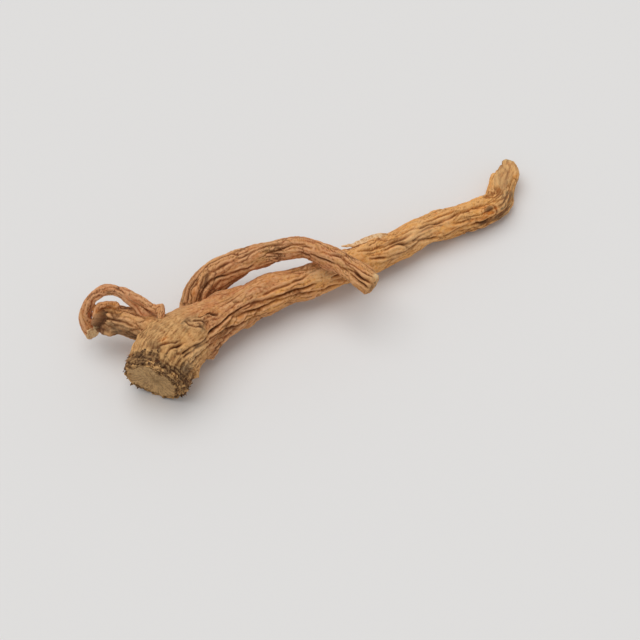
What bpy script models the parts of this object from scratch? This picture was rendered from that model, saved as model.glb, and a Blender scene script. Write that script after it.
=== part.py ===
"""A dried peucedanum root, lying on its side.

One grown piece: a thick main root, cut off square at its crown and bent near its broken tip, with a branch that arches
back over it, a short broken lateral and a curled rootlet. Metres, +Z up. X runs from the crown to the tip, and the
origin is on the surface it lies on, under the middle of its bounding box.
"""

import math
from collections import namedtuple

import bmesh
import bpy
import numpy as np
from mathutils import Vector

NAME = "peucedanum_root"
MM = 0.001
WELD_DISTANCE = 0.00001
SMOOTH_ANGLE = math.radians(50.0)
BARK_COLOUR = (0.43, 0.25, 0.12, 1.0)
BARK_ROUGHNESS = 0.8
Limb = namedtuple("Limb", "name axis sides spacing relief start end flatten")

# Axis of each limb from its base to its end, in millimetres: x, y, height of the axis, thickness
MAIN_ROOT = [
    (-66.2, -7.1, 9.2, 18.3),
    (-63.5, -5.3, 9.5, 19.3),
    (-59.1, -2.7, 9.5, 19.5),
    (-49.9, -0.3, 9.2, 17.7),
    (-44.3, -0.5, 8.7, 15.0),
    (-39.0, -0.7, 8.5, 12.9),
    (-31.3, -1.2, 8.3, 12.0),
    (-22.2, -2.5, 8.1, 11.4),
    (-14.8, -4.2, 7.9, 10.5),
    (-7.7, -6.8, 7.7, 9.6),
    (1.3, -8.6, 7.4, 9.3),
    (11.9, -10.5, 7.0, 10.2),
    (19.9, -11.9, 6.5, 9.6),
    (28.5, -12.3, 6.0, 8.7),
    (37.2, -14.0, 5.4, 9.0),
    (45.5, -16.0, 4.8, 9.0),
    (52.3, -17.7, 4.2, 8.9),
    (58.1, -17.1, 3.8, 8.6),
    (63.4, -12.8, 4.2, 8.7),
    (67.2, -10.5, 4.6, 7.4),
    (70.0, -8.0, 4.8, 4.2),
]
ARCH = [
    (-48.2, 4.9, 6.0, 7.2),
    (-43.5, 7.5, 3.9, 8.4),
    (-40.0, 9.7, 3.5, 8.8),
    (-36.4, 11.2, 8.2, 9.3),
    (-31.8, 11.1, 11.2, 8.7),
    (-25.2, 8.9, 13.4, 7.5),
    (-17.4, 5.8, 15.0, 7.0),
    (-11.2, 2.5, 16.2, 6.6),
    (-6.7, -1.4, 17.0, 6.3),
    (-3.6, -7.9, 17.3, 6.6),
    (-1.2, -15.7, 16.8, 6.9),
    (0.6, -23.1, 15.6, 6.9),
]
ARCH_STRAND = [
    (-39.7, 8.3, 4.5, 4.2),
    (-34.6, 8.5, 7.0, 4.0),
    (-29.2, 7.9, 9.8, 3.6),
    (-23.2, 6.5, 11.6, 2.8),
]
LATERAL = [
    (-54.7, 1.5, 9.5, 9.6),
    (-57.4, 7.5, 10.4, 8.7),
    (-60.4, 12.3, 11.0, 9.0),
    (-63.4, 16.5, 11.4, 8.1),
    (-66.4, 19.8, 11.4, 7.2),
]
CURL = [
    (-56.5, 8.1, 11.5, 4.0),
    (-56.9, 11.6, 15.0, 3.3),
    (-57.8, 15.4, 17.6, 3.1),
    (-59.4, 18.8, 18.8, 3.0),
    (-61.9, 21.8, 18.8, 3.0),
    (-65.1, 23.0, 17.5, 2.9),
    (-67.8, 23.4, 15.0, 2.9),
    (-69.8, 22.7, 12.0, 2.7),
    (-70.4, 21.1, 9.0, 2.9),
    (-70.5, 18.8, 7.0, 2.7),
]
KNOBBY_STUB = [
    (-58.6, 15.7, 18.0, 2.4),
    (-55.7, 12.9, 17.5, 3.0),
    (-54.4, 9.3, 17.0, 3.2),
    (-53.6, 6.6, 16.0, 2.4),
]
BARK_FLAP = [
    (4.8, -6.0, 12.1, 1.6),
    (8.8, -6.7, 12.0, 2.8),
    (13.8, -7.8, 11.2, 3.4),
    (18.8, -9.3, 10.0, 3.4),
]

# How far each end stands out from its last ring, from its rim inwards: share of the radius, millimetres
CUT_DISC = [(0.96, 0.4), (0.84, 0.1), (0.5, -0.4), (0.2, -0.2)]
BROKEN_END = [(0.94, 0.5), (0.72, 1.0), (0.38, 1.2)]
HOLLOW_END = [(0.9, 0.4), (0.66, -0.9), (0.36, -1.9)]
BURIED_END = [(0.8, 0.8)]

# Long furrows: depth, half width, then distance along the limb and angle from its top towards the front
MAIN_FURROWS = [
    (1.1, 0.9, [(0, 18), (6, 36), (12, 46), (17, 53), (22, 50), (27, 45), (33, 37), (38, 34)]),
    (0.7, 0.8, [(37, 34), (41, 42), (46, 52), (52, 54), (57, 58), (61, 49), (68, 51), (74, 46)]),
    (0.9, 0.9, [(2, 42), (9, 49), (14, 55), (18, 61), (24, 63), (30, 68)]),
    (1.0, 0.9, [(31, 48), (35, 56), (40, 62), (46, 62), (52, 71), (58, 80), (63, 90), (70, 86)]),
    (0.8, 0.9, [(4, 62), (11, 69), (17, 75), (24, 82), (29, 90)]),
    (0.7, 0.8, [(22, 69), (30, 72), (36, 82), (44, 90)]),
    (0.8, 0.8, [(43, 31), (50, 29), (55, 26), (60, 8), (63, 1)]),
    (0.8, 0.9, [(4, 16), (9, 26), (13, 36)]),
    (0.6, 0.8, [(5, 0), (8, 14), (11, 24)]),
    (0.6, 0.8, [(31, 4), (37, -2), (42, -10)]),
    (0.8, 0.8, [(76, 3), (83, 14), (87, 17), (94, 22)]),
    (1.0, 0.8, [(78, 44), (84, 57), (90, 67), (97, 68), (103, 82), (108, 77), (116, 74), (123, 66)]),
    (0.8, 0.8, [(90, -6), (97, 12), (102, 20), (107, 18), (115, 12)]),
    (0.6, 0.7, [(83, 26), (89, 33), (92, 50), (98, 44)]),
    (0.6, 0.7, [(108, 44), (112, 52), (120, 55)]),
]
ARCH_FURROWS = [
    (0.7, 0.7, [(22, 20), (34, 10), (41, 0), (46, 12), (50, 26), (54, 32)]),
    (0.9, 0.7, [(40, 46), (46, 60), (49, 64), (54, 80)]),
    (1.0, 0.7, [(56, 30), (60, 20), (65, 8), (69, 14), (74, 8)]),
    (0.9, 0.7, [(61, 28), (66, 38), (71, 36), (74, 30)]),
    (0.8, 0.7, [(62, 60), (68, 56), (74, 62)]),
    (0.8, 0.8, [(10, 20), (18, 35), (26, 60), (34, 75)]),
    (0.7, 0.8, [(8, -30), (16, -15), (24, -20), (32, -45)]),
]
# Scars and swellings of the main root: distance from the crown, angle, radius, height (below zero is a pit)
MARKS = [
    (8, 180, 4.5, 0.9),
    (18, 30, 3.6, 0.7),
    (43, -9, 1.3, -0.6),
    (43, -9, 2.6, 0.5),
    (119, 34, 1.6, 0.6),
    (76, 22, 2.2, 0.5),
    (101, 66, 1.2, -0.4),
    (23, 7, 2.4, 0.6),
    (22, 119, 1.6, 0.9),
    (37, 124, 1.5, 0.8),
    (9, 100, 2.0, 0.9),
    (64, -120, 3.0, 0.8),
    (96, -95, 2.2, 0.7),
    (31, -70, 3.0, 0.8),
]
# Folds: how many go round, how deep they are, and how far their pattern is turned
MAIN_FOLDS = [(10, 0.9, 0.4), (7, 0.6, 2.2)]
ARCH_FOLDS = [(7, 1.0, 1.3)]
SMALL_FOLDS = [(6, 1.0, 2.9)]
# Folds drift to either side as they run: two waves, each with its angle and its length along the limb
WIDE_DRIFT = (0.30, 17.0)
NARROW_DRIFT = (0.16, 7.3)
FOLD_SWELL_LENGTH = 9.1
FOLD_SHARPNESS = 0.7
LUMP_HEIGHT = 0.2
FULL_RELIEF_RADIUS = 4.2
FURROW_END_SHARPNESS = 1.6
CRUST_LENGTH = 4.0
CRUST_HEIGHT = 0.35
CRUST_TEETH = 13
RING_WRINKLE_LENGTH = 26.0
RING_WRINKLE_SPACING = 2.6
RING_WRINKLE_DEPTH = 0.22
RING_WRINKLE_SWAY = 0.8


def smooth_axis(points, spacing):
    """Place rings along a smooth curve through the points, about `spacing` apart."""
    rows = [Vector(point) for point in points]
    rows = [2 * rows[0] - rows[1]] + rows + [2 * rows[-1] - rows[-2]]
    rings = []
    for before, start, end, after in zip(rows, rows[1:], rows[2:], rows[3:]):
        steps = max(1, round((end - start).xyz.length / spacing))
        for step in range(steps):
            t = step / steps
            rings.append(0.5 * (2 * start + (end - before) * t
                                + (2 * before - 5 * start + 4 * end - after) * t ** 2
                                + (3 * start - before - 3 * end + after) * t ** 3))
    rings.append(rows[-2])
    return rings


def ring_frames(rings):
    """Give each ring its centre, its upward and its sideways direction, and its distance along the limb."""
    frames = []
    along = 0.0
    for index, ring in enumerate(rings):
        ahead = rings[min(index + 1, len(rings) - 1)].xyz
        behind = rings[max(index - 1, 0)].xyz
        direction = (ahead - behind).normalized()
        side = direction.cross(Vector((0.0, 0.0, 1.0))).normalized()
        upward = side.cross(direction)
        if index:
            along += (ring.xyz - rings[index - 1].xyz).length
        frames.append((ring.xyz, upward, side, along))
    return frames


def wrap(angle):
    """Bring an angle into the half turn either side of zero."""
    return (angle + math.pi) % math.tau - math.pi


def folds(along, angle, count, depth, turn):
    """Rounded lengthwise ridges with sharp valleys between, which drift round the limb as they run."""
    drift = turn + WIDE_DRIFT[0] * np.sin(along / WIDE_DRIFT[1] + turn)
    drift = drift + NARROW_DRIFT[0] * np.sin(along / NARROW_DRIFT[1] + 2 * turn)
    swell = 0.65 + 0.35 * np.sin(along / FOLD_SWELL_LENGTH + 2 * angle + turn)
    ridges = np.abs(np.sin(0.5 * count * (angle + drift))) ** FOLD_SHARPNESS
    return depth * swell * (ridges - FOLD_SHARPNESS)


def lumps(along, angle):
    """Low uneven swellings all over."""
    waves = np.sin(along / 2.9 + 3 * angle) + np.sin(along / 1.9 - 2 * angle)
    return LUMP_HEIGHT * (waves + np.sin(along / 5.3 + 5 * angle))


def carve(along, angle, radius, furrow):
    """One long furrow: how much it takes off the radius at each place."""
    depth, half_width, course = furrow
    distances = [row[0] for row in course]
    turns = np.radians([row[1] for row in course])
    sideways = radius * wrap(angle - np.interp(along, distances, turns)) / half_width
    beyond = np.maximum(distances[0] - along, along - distances[-1])
    fade = 1 / (1 + np.exp(FURROW_END_SHARPNESS * beyond))
    return depth * fade * np.exp(-sideways ** 2)


def raise_mark(along, angle, radius, mark):
    """One round scar or swelling."""
    distance, turn, size, height = mark
    sideways = radius * wrap(angle - math.radians(turn))
    return height * np.exp(-((along - distance) ** 2 + sideways ** 2) / size ** 2)


def grown_relief(along, angle, radius, fold_sets, furrows):
    """Folds, lumps and long furrows of any limb, shallower where it is thin."""
    fullness = np.clip(radius / FULL_RELIEF_RADIUS, 0, 1)
    offset = lumps(along, angle)
    for count, depth, turn in fold_sets:
        offset = offset + folds(along, angle, count, depth, turn)
    for furrow in furrows:
        offset = offset - carve(along, angle, radius, furrow)
    return offset * fullness


def main_relief(along, angle, radius):
    """The main root's surface, with its scars, ring wrinkles and the crusted rim of the crown."""
    offset = grown_relief(along, angle, radius, MAIN_FOLDS, MAIN_FURROWS)
    for mark in MARKS:
        offset = offset + raise_mark(along, angle, radius, mark)
    crown_share = np.clip(1 - along / RING_WRINKLE_LENGTH, 0, 1)
    swayed = along + RING_WRINKLE_SWAY * np.sin(2 * angle)
    offset = offset + RING_WRINKLE_DEPTH * crown_share * np.sin(math.tau * swayed / RING_WRINKLE_SPACING)
    crust_share = np.clip(1 - along / CRUST_LENGTH, 0, 1)
    return offset + CRUST_HEIGHT * crust_share * (1 + np.sin(CRUST_TEETH * angle + 2 * along))


def arch_relief(along, angle, radius):
    """The arching branch's surface."""
    return grown_relief(along, angle, radius, ARCH_FOLDS, ARCH_FURROWS)


def small_relief(along, angle, radius):
    """The surface of a short or thin limb."""
    return grown_relief(along, angle, radius, SMALL_FOLDS, [])


MAIN_LIMB = Limb(NAME, MAIN_ROOT, 42, 2.1, main_relief, CUT_DISC, BROKEN_END, 1.0)
BRANCHES = [
    Limb("arch", ARCH, 26, 2.2, arch_relief, BURIED_END, BROKEN_END, 1.0),
    Limb("arch_strand", ARCH_STRAND, 12, 2.4, small_relief, BURIED_END, BURIED_END, 1.0),
    Limb("lateral", LATERAL, 26, 2.0, small_relief, BURIED_END, HOLLOW_END, 1.0),
    Limb("curl", CURL, 12, 2.0, small_relief, BURIED_END, BROKEN_END, 1.0),
    Limb("knobby_stub", KNOBBY_STUB, 10, 1.6, small_relief, BURIED_END, BROKEN_END, 1.0),
    Limb("bark_flap", BARK_FLAP, 8, 2.5, small_relief, BURIED_END, BURIED_END, 0.35),
]


def grow(limb, collection):
    """Skin the rings of one limb, with its relief, and close both its ends."""
    rings = smooth_axis(limb.axis, limb.spacing)
    frames = ring_frames(rings)
    turns = [index * math.tau / limb.sides for index in range(limb.sides)]
    along = np.array([frame[3] for frame in frames])[:, None]
    radius = np.array([ring.w / 2 for ring in rings])[:, None]
    reach = (radius + limb.relief(along, np.array(turns)[None, :], radius)).tolist()
    mesh = bmesh.new()

    def add_ring(frame, sizes, share, shift):
        centre, upward, side, _ = frame
        row = []
        for turn, size in zip(turns, sizes):
            outward = limb.flatten * math.cos(turn) * upward + math.sin(turn) * side
            row.append(mesh.verts.new((centre + shift * upward.cross(side) + share * size * outward) * MM))
        return row

    rows = [add_ring(frames[0], reach[0], share, -out) for share, out in reversed(limb.start)]
    rows += [add_ring(frame, sizes, 1.0, 0.0) for frame, sizes in zip(frames, reach)]
    rows += [add_ring(frames[-1], reach[-1], share, out) for share, out in limb.end]
    for near, far in zip(rows, rows[1:]):
        for index in range(limb.sides):
            following = (index + 1) % limb.sides
            mesh.faces.new((near[index], near[following], far[following], far[index]))
    for row in (rows[0], rows[-1]):
        middle = mesh.verts.new(sum((vertex.co for vertex in row), Vector()) / limb.sides)
        for index in range(limb.sides):
            mesh.faces.new((row[index], row[(index + 1) % limb.sides], middle))
    bmesh.ops.recalc_face_normals(mesh, faces=mesh.faces)

    data = bpy.data.meshes.new(limb.name)
    mesh.to_mesh(data)
    mesh.free()
    grown = bpy.data.objects.new(limb.name, data)
    collection.objects.link(grown)
    return grown


def bark():
    """Dry tan bark."""
    material = bpy.data.materials.new("bark")
    material.use_nodes = True
    shader = material.node_tree.nodes["Principled BSDF"]
    shader.inputs["Base Color"].default_value = BARK_COLOUR
    shader.inputs["Roughness"].default_value = BARK_ROUGHNESS
    shader.inputs["Metallic"].default_value = 0.0
    return material


def grow_together(root, limbs):
    """Join the limbs to the main root in one Boolean union, then remove them."""
    union = root.modifiers.new("grown together", "BOOLEAN")
    union.operation = "UNION"
    union.operand_type = "COLLECTION"
    union.collection = limbs
    union.solver = "EXACT"
    evaluated = root.evaluated_get(bpy.context.evaluated_depsgraph_get())
    joined = bpy.data.meshes.new_from_object(evaluated)
    root.modifiers.clear()
    root.data = joined
    for limb in list(limbs.objects):
        bpy.data.objects.remove(limb)
    bpy.data.collections.remove(limbs)


def press_flat(root):
    """Weld the mesh and give the root its small flat spots, where it lies on the surface."""
    mesh = bmesh.new()
    mesh.from_mesh(root.data)
    bmesh.ops.remove_doubles(mesh, verts=mesh.verts, dist=WELD_DISTANCE)
    for vertex in mesh.verts:
        vertex.co.z = max(vertex.co.z, 0.0)
    bmesh.ops.triangulate(mesh, faces=mesh.faces)
    bmesh.ops.recalc_face_normals(mesh, faces=mesh.faces)
    mesh.to_mesh(root.data)
    mesh.free()


def main():
    """Build the root."""
    for old in list(bpy.data.objects):
        bpy.data.objects.remove(old)
    root_collection = bpy.data.collections.new(NAME)
    limbs = bpy.data.collections.new("limbs")
    bpy.context.scene.collection.children.link(root_collection)
    bpy.context.scene.collection.children.link(limbs)

    root = grow(MAIN_LIMB, root_collection)
    for branch in BRANCHES:
        grow(branch, limbs)
    grow_together(root, limbs)
    press_flat(root)

    root.data.materials.clear()
    root.data.materials.append(bark())
    root.data.shade_smooth()
    root.data.set_sharp_from_angle(angle=SMOOTH_ANGLE)


main()
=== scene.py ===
"""Looks of one dried peucedanum root, lying on a pale floor.

The root is one grown body: a thick main root with a cut crown and a broken tip, a branch that arches
back over it, a short broken lateral and a curled rootlet. Hoops are lofted along every limb, the limbs
are fused into one skin, and the skin is furrowed and wrinkled limb by limb. Loose bark, crown scales and
fibres are then laid on it.

Lengths are millimetres until a mesh is made. An angle runs round a limb from its top towards the front,
in degrees.
"""

import logging
import math
import random
from dataclasses import dataclass, field, replace
from enum import Enum

import bmesh
import bpy
import numpy as np
from mathutils import Matrix, Vector, noise
from mathutils.bvhtree import BVHTree


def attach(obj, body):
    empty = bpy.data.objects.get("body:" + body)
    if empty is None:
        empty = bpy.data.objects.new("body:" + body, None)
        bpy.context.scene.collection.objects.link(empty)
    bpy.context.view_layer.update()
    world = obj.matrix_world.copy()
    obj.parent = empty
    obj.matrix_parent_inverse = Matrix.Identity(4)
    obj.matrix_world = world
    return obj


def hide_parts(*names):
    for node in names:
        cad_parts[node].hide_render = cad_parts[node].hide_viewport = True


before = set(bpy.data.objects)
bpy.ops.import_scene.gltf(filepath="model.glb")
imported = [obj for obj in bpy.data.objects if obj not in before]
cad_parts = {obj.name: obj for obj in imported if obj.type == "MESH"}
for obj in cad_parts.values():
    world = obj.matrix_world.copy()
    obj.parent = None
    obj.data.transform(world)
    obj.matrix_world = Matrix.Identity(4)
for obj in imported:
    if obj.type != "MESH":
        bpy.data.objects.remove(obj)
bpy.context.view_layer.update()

log = logging.getLogger("peucedanum_root")
MM = 0.001
BODY = "root"
NODE = "peucedanum_root"
UP = Vector((0.0, 0.0, 1.0))
SPINE_SPACING = 0.4
POINTS_AT_ONCE = 8192

# Distance from a limb's axis at which the search for its bark starts, and what stands in for a miss
PROBE_START = 16.0
PROBE_MISS = 4.0

# Limbs thinner than this have less relief than the rest
FULL_RELIEF_RADIUS = 4.2

# Lumps: their height, and for each wave its length along the limb and its turns round it
LUMP_HEIGHT = 0.2
LUMP_WAVES = ((2.9, 3), (1.9, -2), (5.3, 5))

# Folds: for each drift its amount in radians, its length along the limb and how the fold's turn shifts it
FOLD_SHARPNESS = 0.6
FOLD_DRIFTS = ((0.30, 17.0, 1), (0.16, 7.3, 2))
FOLD_SWELL = 0.35
FOLD_SWELL_LENGTH = 9.1

# Nets: how their borders sway, how wide a border's valley is, how wide and how dark the painted shade
# along a border is, and how strongly each net shows
NET_SWAY = 0.22
NET_SWAY_RATE = 2.1
NET_RIPPLE = 0.10
NET_RIPPLE_RATE = 4.7
VALLEY_WIDTH = 0.21
VALLEY_SHARPNESS = 0.7
VALLEY_FLOOR = 0.8
NET_SHADE_WIDTH = 0.06
NET_LINE_SHADE = 0.8
NET_FADING = 0.25
NET_STRENGTH = 0.5
NET_LEAST = 0.1

# Furrows: shoulders and margin are in half widths, and the fade at either end is a share of the length
COURSE_SPACING = 1.0
COURSE_MARGIN = 5
SHOULDER_HEIGHT = 0.30
SHOULDER_DISTANCE = 2.0
SHOULDER_WIDTH = 0.9
FURROW_FADE = (-0.12, 0.16)
# The painted shade along a furrow: its width, and how dark it is in the shallowest furrow
CREASE_SHADE_WIDTH = 0.34
SHALLOW_CREASE_SHADE = 0.35
FURROW_STRENGTH = 0.75
FURROW_RANGE = (0.2, 1.15)

# Stains: how far their edges fray along the limb, how much a patch's edge frays, and how sharp it is
TONE_FRAY = 3
PATCH_FRAY = 0.9
PATCH_SHARPNESS = 1.5

# How far the creases of the nets and the furrows wander
MEANDER = 0.9
FURROW_MEANDER = 0.5

Pair = tuple[float, float]
Triple = tuple[float, float, float]
Colour = tuple[float, float, float, float]
Rows = tuple[tuple[float, ...], ...]
Socket = bpy.types.NodeSocket


class Stain(Enum):
    """Patches that change the bark's colour. Each value is also the name of a point attribute."""

    PINK = "pink"
    OCHRE = "ochre"
    EMBER = "ember"
    GREY = "grey"
    CRUST = "crust"
    WOOD = "wood"
    # DARK also carries the painted shade in the lateral's hollow end
    DARK = "dark"
    CREAM = "cream"


@dataclass(frozen=True)
class Rough:
    """Smooth random unevenness.

    Attributes:
        height: about how far it goes up and down.
        size: the size of its features.
        seed: which of the many random patterns it is.
        stretch: how many times longer its features are than wide.
    """

    height: float
    size: float
    seed: float
    stretch: float = 1.0

    def over(self, grain: np.ndarray) -> np.ndarray:
        """Give its height at each place along the grain."""
        return self.height * noise_over(grain / (self.stretch, 1, 1), self.size, self.seed)


BUMPS = Rough(0.24, 2.2, 7.0, 1.6)
GRANULES = (Rough(0.13, 0.9, 3.0), Rough(0.13, 0.6, 1.0, 2.5))
NET_PATCHES = Rough(1.2, 6.0, 5.0)
FURROW_BREAKS = Rough(1.3, 2.4, 13.0, 1.6)
SWAY_ROUND = (Rough(1.0, 4.0, 3.0), Rough(0.30, 1.5, 6.0))
SWAY_AHEAD = Rough(1.0, 3.0, 9.0)
STAIN_FRAY = (Rough(1.0, 3.5, 2.0), Rough(0.5, 1.3, 8.0))
RIM_FRAY = Rough(0.12, 2.0, 8.0)
CRUST_FRAY = Rough(0.45, 3.0, 4.0)
CRUST_GRAINS = (Rough(1.0, 1.8, 11.0, 1 / 3), Rough(0.6, 0.6, 5.0))
CRUST_LAYER_SWAY = (Rough(0.9, 2.5, 1.0), Rough(0.3, 0.9, 2.0))
SPLINTER_FRAY = Rough(0.7, 1.2, 6.0, 4.0)
BREAK_LUMPS = Rough(1.0, 1.6, 4.0)
BREAK_FIBRES = Rough(1.0, 0.8, 9.0, 5.0)


# How a limb's end stands out, from the rim inwards: share of the radius, distance out
CUT_DISC = ((0.96, 0.4), (0.84, 0.1), (0.5, -0.4), (0.2, -0.2))
BROKEN_END = ((0.94, 0.5), (0.72, 1.0), (0.38, 1.2))
TONGUE_END = ((0.9, 0.35), (0.72, 0.8), (0.42, 1.1))
BURIED_END = ((0.8, 0.8),)


@dataclass(frozen=True)
class Furrow:
    """A crease in the bark: its depth, half its width, and the places that it runs through.

    Each place is a distance along the limb and an angle.
    """

    depth: float
    half_width: float
    course: Rows


@dataclass(frozen=True)
class Mark:
    """A round scar or swelling, or a pit where its height is below zero."""

    along: float
    angle: float
    size: float
    height: float


@dataclass(frozen=True)
class Patch:
    """A patch of one stain: its place, its length along the limb and its width round it."""

    stain: Stain
    along: float
    angle: float
    length: float
    width: float
    strength: float = 1.0


@dataclass(frozen=True)
class Break:
    """A cut or broken face, which takes off what stands out of its plane.

    Attributes:
        point: a point of the face.
        outward: the direction that it faces.
        first: where along the limb it can start.
        across: whether it goes right across the limb, rather than only taking off one side.
        sunken: how far its middle lies below its rim.
        ragged: how uneven it is.
        stains: the stains on it, and how strong they are.
    """

    point: Triple
    outward: Triple
    first: float
    across: bool = True
    sunken: float = 0.0
    ragged: float = 0.25
    stains: tuple[tuple[Stain, float], ...] = ((Stain.WOOD, 1.0),)


@dataclass(frozen=True)
class Folds:
    """Lengthwise folds that go round a limb: how many, how deep, and how far their pattern is turned."""

    count: int
    depth: float
    turn: float


@dataclass(frozen=True)
class Net:
    """The net of creases over a limb: width of its meshes, their length to width, and their depth."""

    width: float
    stretch: float
    depth: float


@dataclass(frozen=True)
class Spine:
    """A limb's axis in close steps, with the directions, distance and radius at each step."""

    centres: np.ndarray
    upward: np.ndarray
    side: np.ndarray
    onward: np.ndarray
    along: np.ndarray
    radius: np.ndarray


@dataclass(frozen=True)
class Places:
    """Where points lie on a limb.

    Attributes:
        along: distance from the limb's base.
        angle: angle round it, in radians.
        reach: distance from its axis.
        radius: the plain limb's radius there.
        past: how far the point is past either end, below zero before the first one.
        gap: distance between the point and the plain limb.
    """

    along: np.ndarray
    angle: np.ndarray
    reach: np.ndarray
    radius: np.ndarray
    past: np.ndarray
    gap: np.ndarray

    def of(self, chosen: np.ndarray) -> "Places":
        """Give the places of the chosen points only."""
        return Places(self.along[chosen], self.angle[chosen], self.reach[chosen], self.radius[chosen],
                      self.past[chosen], self.gap[chosen])

    def away(self, along: float, angle: float) -> tuple[np.ndarray, np.ndarray]:
        """Give how far ahead and how far round the limb each point is from a place."""
        return self.along - along, self.radius * wrap(self.angle - math.radians(angle))


def paint(code: str) -> Colour:
    """Turn a screen colour into the linear colour that shaders take.

    Args:
        code: six hexadecimal digits, red first.

    Returns:
        The linear colour, with full alpha.
    """
    shares = [int(code[place : place + 2], 16) / 255 for place in (0, 2, 4)]
    linear = [share / 12.92 if share <= 0.04045 else ((share + 0.055) / 1.055) ** 2.4 for share in shares]
    return (linear[0], linear[1], linear[2], 1.0)


def wrap(angle: np.ndarray) -> np.ndarray:
    """Bring angles in radians into the half turn either side of zero."""
    return (angle + math.pi) % math.tau - math.pi


def smoothstep(values: np.ndarray, low: float, high: float) -> np.ndarray:
    """Rise smoothly from 0 at `low` to 1 at `high`."""
    share = np.clip((values - low) / (high - low), 0, 1)
    return share * share * (3 - 2 * share)


def smooth_path(rows: Rows, spacing: float, sizes: int) -> np.ndarray:
    """Draw a smooth curve through rows of numbers.

    Args:
        rows: what the curve goes through.
        spacing: about how far apart its steps are.
        sizes: how many of a row's first numbers are its place.

    Returns:
        The steps along the curve, one row each.
    """
    known = np.array(rows, float)
    known = np.vstack((2 * known[0] - known[1], known, 2 * known[-1] - known[-2]))
    steps = []
    for before, start, end, after in zip(known, known[1:], known[2:], known[3:]):
        count = max(1, round(float(np.linalg.norm((end - start)[:sizes])) / spacing))
        t = np.arange(count)[:, None] / count
        steps.append(0.5 * (2 * start + (end - before) * t
                            + (2 * before - 5 * start + 4 * end - after) * t**2
                            + (3 * start - before - 3 * end + after) * t**3))
    return np.vstack((*steps, known[-2]))


def noise_over(points: np.ndarray, size: float, seed: float) -> np.ndarray:
    """Give each point a smooth random number, about -1 to 1, that changes over `size`."""
    spots = (points / size + seed).tolist()
    return np.array([noise.noise(spot) for spot in spots])


def choose(shape: bpy.types.Object) -> None:
    """Select one object alone and make it active."""
    bpy.ops.object.select_all(action="DESELECT")
    shape.select_set(True)
    bpy.context.view_layer.objects.active = shape


def apply_place(shape: bpy.types.Object) -> None:
    """Move an object's place, turn and size into its mesh."""
    choose(shape)
    bpy.ops.object.transform_apply(location=True, rotation=True, scale=True)


def apply_modifier(shape: bpy.types.Object, kind: str, **settings: object) -> None:
    """Add a modifier to an object, set it, and apply it."""
    choose(shape)
    modifier = shape.modifiers.new(kind.lower(), kind)
    for name, value in settings.items():
        setattr(modifier, name, value)
    bpy.ops.object.modifier_apply(modifier=modifier.name)


def join(shapes: list[bpy.types.Object], name: str) -> bpy.types.Object:
    """Join objects into one, and name it."""
    choose(shapes[0])
    for shape in shapes:
        shape.select_set(True)
    bpy.ops.object.join()
    joined = bpy.context.view_layer.objects.active
    joined.name = name
    joined.data.name = name
    return joined


def dress(piece: bpy.types.Object, finish: bpy.types.Material) -> None:
    """Give a piece its finish and let it ride on the root."""
    piece.data.materials.clear()
    piece.data.materials.append(finish)
    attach(piece, BODY)
    log.info("%s: %d points, %d faces", piece.name, len(piece.data.vertices), len(piece.data.polygons))


class Hoops:
    """A tube made hoop by hoop in edit mode, and skinned between neighbouring hoops."""

    def __init__(self, name: str, sides: int) -> None:
        """Start with no hoop yet.

        Args:
            name: the object's name.
            sides: how many points each hoop has.
        """
        self.name = name
        self.sides = sides
        self.count = 0
        self.shape: bpy.types.Object | None = None

    def add(self, centre: Vector, upward: Vector, side: Vector, radius: float) -> None:
        """Add a hoop in the plane of two directions.

        Args:
            centre: its centre.
            upward: the direction of its first point.
            side: the direction a quarter turn on.
            radius: its radius.
        """
        turn = Matrix((upward, side, upward.cross(side))).transposed().to_euler()
        place = {"location": centre * MM, "rotation": turn, "radius": radius * MM}
        if self.shape is None:
            bpy.ops.object.select_all(action="DESELECT")
            bpy.ops.mesh.primitive_circle_add(vertices=self.sides, **place)
            self.shape = bpy.context.active_object
            self.shape.name = self.name
            bpy.ops.object.mode_set(mode="EDIT")
        else:
            bpy.ops.mesh.primitive_circle_add(vertices=self.sides, **place)
        self.count += 1

    def _pick(self, *hoops: int) -> None:
        """Select whole hoops by their number."""
        bpy.ops.mesh.select_all(action="DESELECT")
        mesh = bmesh.from_edit_mesh(self.shape.data)
        mesh.verts.ensure_lookup_table()
        for hoop in hoops:
            for index in range(hoop * self.sides, (hoop + 1) * self.sides):
                mesh.verts[index].select = True
        mesh.select_flush(True)
        bmesh.update_edit_mesh(self.shape.data)

    def skin(self) -> bpy.types.Object:
        """Bridge the hoops, close both ends and apply the object's place."""
        for hoop in range(self.count - 1):
            self._pick(hoop, hoop + 1)
            bpy.ops.mesh.bridge_edge_loops()
        for hoop in (0, self.count - 1):
            self._pick(hoop)
            bpy.ops.mesh.edge_face_add()
        bpy.ops.mesh.select_all(action="SELECT")
        bpy.ops.mesh.normals_make_consistent(inside=False)
        bpy.ops.object.mode_set(mode="OBJECT")
        apply_place(self.shape)
        return self.shape


def lumps(places: Places) -> np.ndarray:
    """Give low uneven swellings all over."""
    waves = (np.sin(places.along / length + turns * places.angle) for length, turns in LUMP_WAVES)
    return LUMP_HEIGHT * sum(waves)


def fold_height(places: Places, folds: Folds) -> np.ndarray:
    """Give rounded lengthwise ridges with sharp valleys between, which drift round the limb."""
    drift = folds.turn + sum(amount * np.sin(places.along / length + turns * folds.turn)
                             for amount, length, turns in FOLD_DRIFTS)
    wave = np.sin(places.along / FOLD_SWELL_LENGTH + 2 * places.angle + folds.turn)
    swell = 1 - FOLD_SWELL + FOLD_SWELL * wave
    ridges = np.abs(np.sin(0.5 * folds.count * (places.angle + drift))) ** FOLD_SHARPNESS
    return folds.depth * swell * (ridges - FOLD_SHARPNESS)


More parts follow.
